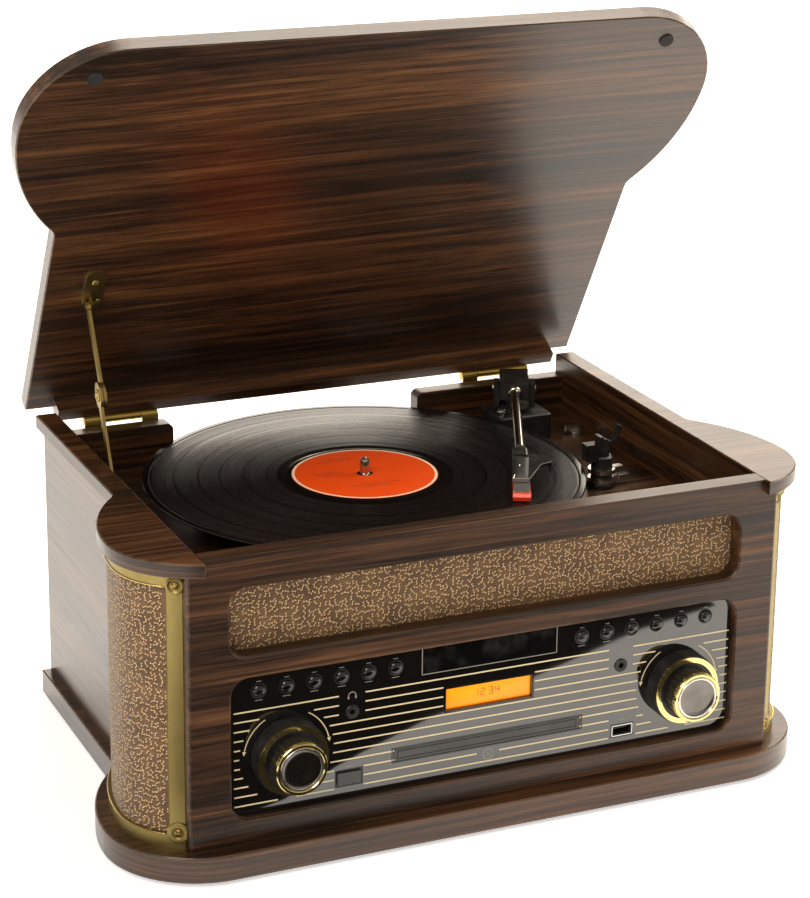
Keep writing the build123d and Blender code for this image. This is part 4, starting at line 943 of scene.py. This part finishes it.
crown = Build()
rows, cols = 12, 10
verts, faces = [], []
for i in range(rows + 1):
    t = i / rows
    half = 5.6 - 0.9 * t
    for k in range(cols + 1):
        q = -1 + 2 * k / cols
        lift = 1.5 * (1 - q ** 4) * min(1.0, 6 * t, 6 * (1 - t)) + 0.02
        verts.append(head_point(1.0 + 29.0 * t, q * half - 0.5 * t, lift))
for i in range(rows):
    for k in range(cols):
        n = i * (cols + 1) + k
        faces.append((n, n + 1, n + cols + 2, n + cols + 1))
low = len(verts)
for i in (0, rows):
    for k in (0, cols):
        verts.append(verts[i * (cols + 1) + k] - HEAD_UP * 0.25)
edge_0 = list(range(cols + 1))
edge_1 = [rows * (cols + 1) + k for k in range(cols + 1)]
side_0 = [i * (cols + 1) for i in range(rows + 1)]
side_1 = [i * (cols + 1) + cols for i in range(rows + 1)]
faces += [tuple(edge_0[::-1] + [low, low + 1]), tuple(edge_1 + [low + 3, low + 2])]
faces += [tuple(side_0 + [low + 2, low]), tuple(side_1[::-1] + [low + 1, low + 3])]
faces += [(low, low + 2, low + 3, low + 1)]
crown.add(verts, faces)
crown.done("headshell_crown", "arm", "crown")
trim = Build()
FINGER_EDGE = ((31.0, 4.7, 0.1), (12.0, 13.1, 0.1), (8.1, 20.5, 0.1), (5.4, 20.6, -1.5))
trim.tube([head_point(*p) for p in FINGER_EDGE], 0.3, 8)
trim.tube([head_point(*p) for p in ((30.6, -5.9, 0.1), (15.0, -1.0, 1.5))], 0.22, 8)
trim.done("headshell_edge", "arm", "steel")
band = Build()
band.prism([(-6.1, -2.3), (4.8, -2.3), (4.8, 0.5), (-6.1, 0.5)],
           head_point(31.05, 0, 0), ACROSS, HEAD_UP, -0.7)
band.done("headshell_band", "arm", "silver", smooth=False)
rails = Build()
for side in (-5.2, 0.0, 5.0):
    rails.tube([head_point(33.0, side, -3.2), head_point(39.6, side, -5.0)], 0.35, 6)
rails.tube([head_point(36.2, -5.2, -3.9), head_point(36.2, 5.0, -3.9)], 0.3, 6)
rails.done("cartridge_frame", "arm", "silver")
collar = Build()
profile = [(3.4, 0.0), (4.6, 0.0), (5.0, 0.5)]
for k in range(5):
    profile += [(5.0, 0.9 + 0.6 * k), (4.7, 1.05 + 0.6 * k), (4.7, 1.25 + 0.6 * k), (5.0, 1.4 + 0.6 * k)]
collar.lathe(profile + [(5.0, 4.0), (4.6, 4.4), (3.4, 4.4)], arm_point(143.4, 0), ALONG, 36)
collar.done("arm_collar", "arm", "black")
ferrule = Build()
ferrule.lathe([(3.45, 0.0), (4.6, 0.0), (5.0, 0.7), (4.7, 2.2), (3.9, 3.0), (3.45, 3.2)],
              arm_point(11.2, 0), ALONG, 36)
ferrule.done("arm_ferrule", "arm", "chrome")
needle = Build()
needle.tube([arm_point(197.4, 0, -13.4), arm_point(199.4, 0, -14.7)], [0.32, 0.14], 8)
needle.done("stylus_needle", "arm", "steel")
pivots = Build()
for side in (-1, 1):
    pivots.lathe([(2.9, 0.0), (2.9, 0.6), (2.4, 1.0), (0.9, 1.1), (0.9, 0.6), (0.0, 0.6)],
                 arm_point(0, side * 15.0), ACROSS * side, 28)
pivots.done("arm_pivot_screws", "arm_swing", "steel")
studs = Build()
studs.lathe([(2.4, 0.0), (2.4, 1.6), (3.0, 2.2), (3.3, 3.4), (2.9, 4.6), (1.8, 5.4), (0.0, 5.7)],
            (122.6, 94.6, 186.9), UP, 28)
studs.lathe([(1.5, 0.0), (1.5, 5.0), (1.1, 5.6), (0.0, 5.8)], (156.0, 118.0, 186.9), UP, 20)
studs.done("arm_base_studs", "cabinet", "steel")
foot_ring = Build()
foot_ring.lathe([(7.5, 0.0), (9.6, 0.0), (9.9, 0.35), (9.4, 0.9), (7.9, 1.1), (7.5, 1.1)],
                (*POST, 169.5), UP, 48)
foot_ring.done("arm_post_ring", "cabinet", "gloss")
for name, reach, height in (("cue", 21.0, 172.5), ("lock", 16.0, 179.0)):
    tip = Build()
    tip.prism(rounded(9.0, 5.2, 1.2, 4), (POST[0] + reach - 4.6, POST[1], height - 1.9), RIGHT, -FRONT, 3.8, 0.5)
    tip.done(f"{name}_lever_tip", f"{name}_lever", "steel")


# Stay rivets

UPPER_X, LOWER_X = -181.0, -185.4
STAY_TOP, STAY_ELBOW, STAY_LOW = (108.85, 297.14), (REAR - 70.6, 243.4), (REAR - 99.3, 184.0)
for name, x, face, points in (("upper", UPPER_X, 1, ((STAY_TOP, 2.8), (STAY_ELBOW, 4.2))),
                              ("lower", LOWER_X, -1, ((STAY_ELBOW, 4.2), (STAY_LOW, 2.6)))):
    rivets = Build()
    for (y, z), radius in points:
        rivets.lathe([(radius, -0.1), (radius, 0.5), (radius * 0.8, 0.9), (radius * 0.55, 1.0),
                      (radius * 0.5, 1.5), (0.0, 1.8)], (x, y, z), RIGHT * face, 28)
    rivets.done(f"stay_{name}_rivets", f"stay_{name}", "stay")


# Floor, light and camera

FLOOR_HALF = 14.0
me = bpy.data.meshes.new("floor")
me.from_pydata([(x * FLOOR_HALF, y * FLOOR_HALF, 0) for x, y in ((-1, -1), (1, -1), (1, 1), (-1, 1))],
               [], [(0, 1, 2, 3)])
floor = bpy.data.objects.new("floor", me)
scene.collection.objects.link(floor)
fm = Nodes("floor_paper", Roughness=0.6, Specular_IOR_Level=0.2, Emission_Strength=0.55)
fm.set("Emission_Color", (0.94, 0.97, 1.0, 1))
grain = fm.noise(fm.mapping(fm.coords(), scale=(60, 60, 60)), 1.0, 3.0)
fm.to("Base Color", fm.mix(grain, (0.90, 0.90, 0.895, 1), (0.93, 0.93, 0.93, 1)))
me.materials.append(fm.mat)

world = bpy.data.worlds.new("studio")
scene.world = world
world.use_nodes = True
world.node_tree.nodes["Background"].inputs[0].default_value = (1.0, 0.87, 0.72, 1)
world.node_tree.nodes["Background"].inputs[1].default_value = 0.50


WARM = (1.0, 0.90, 0.77)


def area(name, loc, target, size, energy):
    """A warm soft box, not seen by the camera itself."""
    data = bpy.data.lights.new(name, "AREA")
    data.shape = "RECTANGLE"
    data.size, data.size_y = size
    data.energy = energy
    data.color = WARM
    o = bpy.data.objects.new(name, data)
    scene.collection.objects.link(o)
    o.location = loc
    o.rotation_mode = "QUATERNION"
    o.rotation_quaternion = (Vector(target) - Vector(loc)).to_track_quat("-Z", "Y")
    o.visible_camera = False


area("key", (-1.9, -1.6, 2.4), (0, 0, 0.15), (1.6, 1.6), 48)
area("right", (2.6, 0.4, 2.2), (0.2, 0, 0.1), (1.6, 1.6), 62)
area("top", (1.1, 0.5, 3.0), (0.1, 0, 0.1), (2.2, 1.6), 62)
area("graze", (1.9, 3.4, 1.3), (0.1, 0, 0.2), (3.0, 1.4), 46)

# The photograph's camera: size and optical centre of the picture and focal length, in its pixels
PICTURE_W, PICTURE_H = 810, 898
CENTRE_X, CENTRE_Y, FOCAL = 448.02, 361.45, 2646.6
SENSOR = 36.0
CAMERA_AT = (-0.67968, -1.70162 + REAR * MM, 0.78832)
TURN, PITCH, ROLL = 0.4321, 0.2971, 0.0170
cam_data = bpy.data.cameras.new("photo_camera")
cam = bpy.data.objects.new("photo_camera", cam_data)
scene.collection.objects.link(cam)
ahead = Vector((sin(TURN) * cos(PITCH), cos(TURN) * cos(PITCH), -sin(PITCH)))
level = ahead.cross(UP).normalized()
rise = level.cross(ahead)
cam_x = level * cos(ROLL) + rise * sin(ROLL)
cam_y = rise * cos(ROLL) - level * sin(ROLL)
cam.matrix_world = Matrix([(*row, at) for *row, at in zip(cam_x, cam_y, -ahead, CAMERA_AT)] + [(0, 0, 0, 1)])
cam_data.sensor_width = SENSOR
cam_data.lens = SENSOR * FOCAL / PICTURE_H
cam_data.shift_x = (PICTURE_W / 2 - CENTRE_X) / PICTURE_H
cam_data.shift_y = (CENTRE_Y - PICTURE_H / 2) / PICTURE_H
cam_data.clip_start, cam_data.clip_end = 0.05, 60
scene.camera = cam
scene.view_settings.view_transform = "Standard"

# Dark card lying in front, seen only in reflections: it keeps the upper left of the fascia black.
# Its near edge is given by the line that it draws on the fascia, as x and z.
CARD_EDGE = [(-420, 26), (-178, 33), (-140, 41), (-105, 57), (-89, 63), (-41, 79),
             (32, 95), (73, 106), (110, 116), (165, 124)]
CARD_Z, CARD_FRONT_Y = 0.001, -5.0
eye = cam.matrix_world.translation


def floor_mirror(x, z):
    """Where a line of sight that meets the fascia at x, z reaches the floor after its reflection."""
    hit = Vector((x, FASCIA_Y, z)) * MM
    ray = hit - eye
    return hit + Vector((ray.x, -ray.y, ray.z)) * (hit.z / -ray.z)


near = [floor_mirror(x, z) for x, z in CARD_EDGE]
card_me = bpy.data.meshes.new("dark_card")
card_me.from_pydata([(p.x, p.y, CARD_Z) for p in near] + [(p.x, CARD_FRONT_Y, CARD_Z) for p in near], [],
                    [(i, i + 1, len(near) + i + 1, len(near) + i) for i in range(len(near) - 1)])
card = bpy.data.objects.new("dark_card", card_me)
scene.collection.objects.link(card)
card_black = Nodes("card_black", Base_Color=(0.02, 0.018, 0.016, 1), Roughness=1.0, Specular_IOR_Level=0.0)
card_me.materials.append(card_black.mat)
for ray_kind in ("camera", "diffuse", "shadow", "transmission"):
    setattr(card, f"visible_{ray_kind}", False)
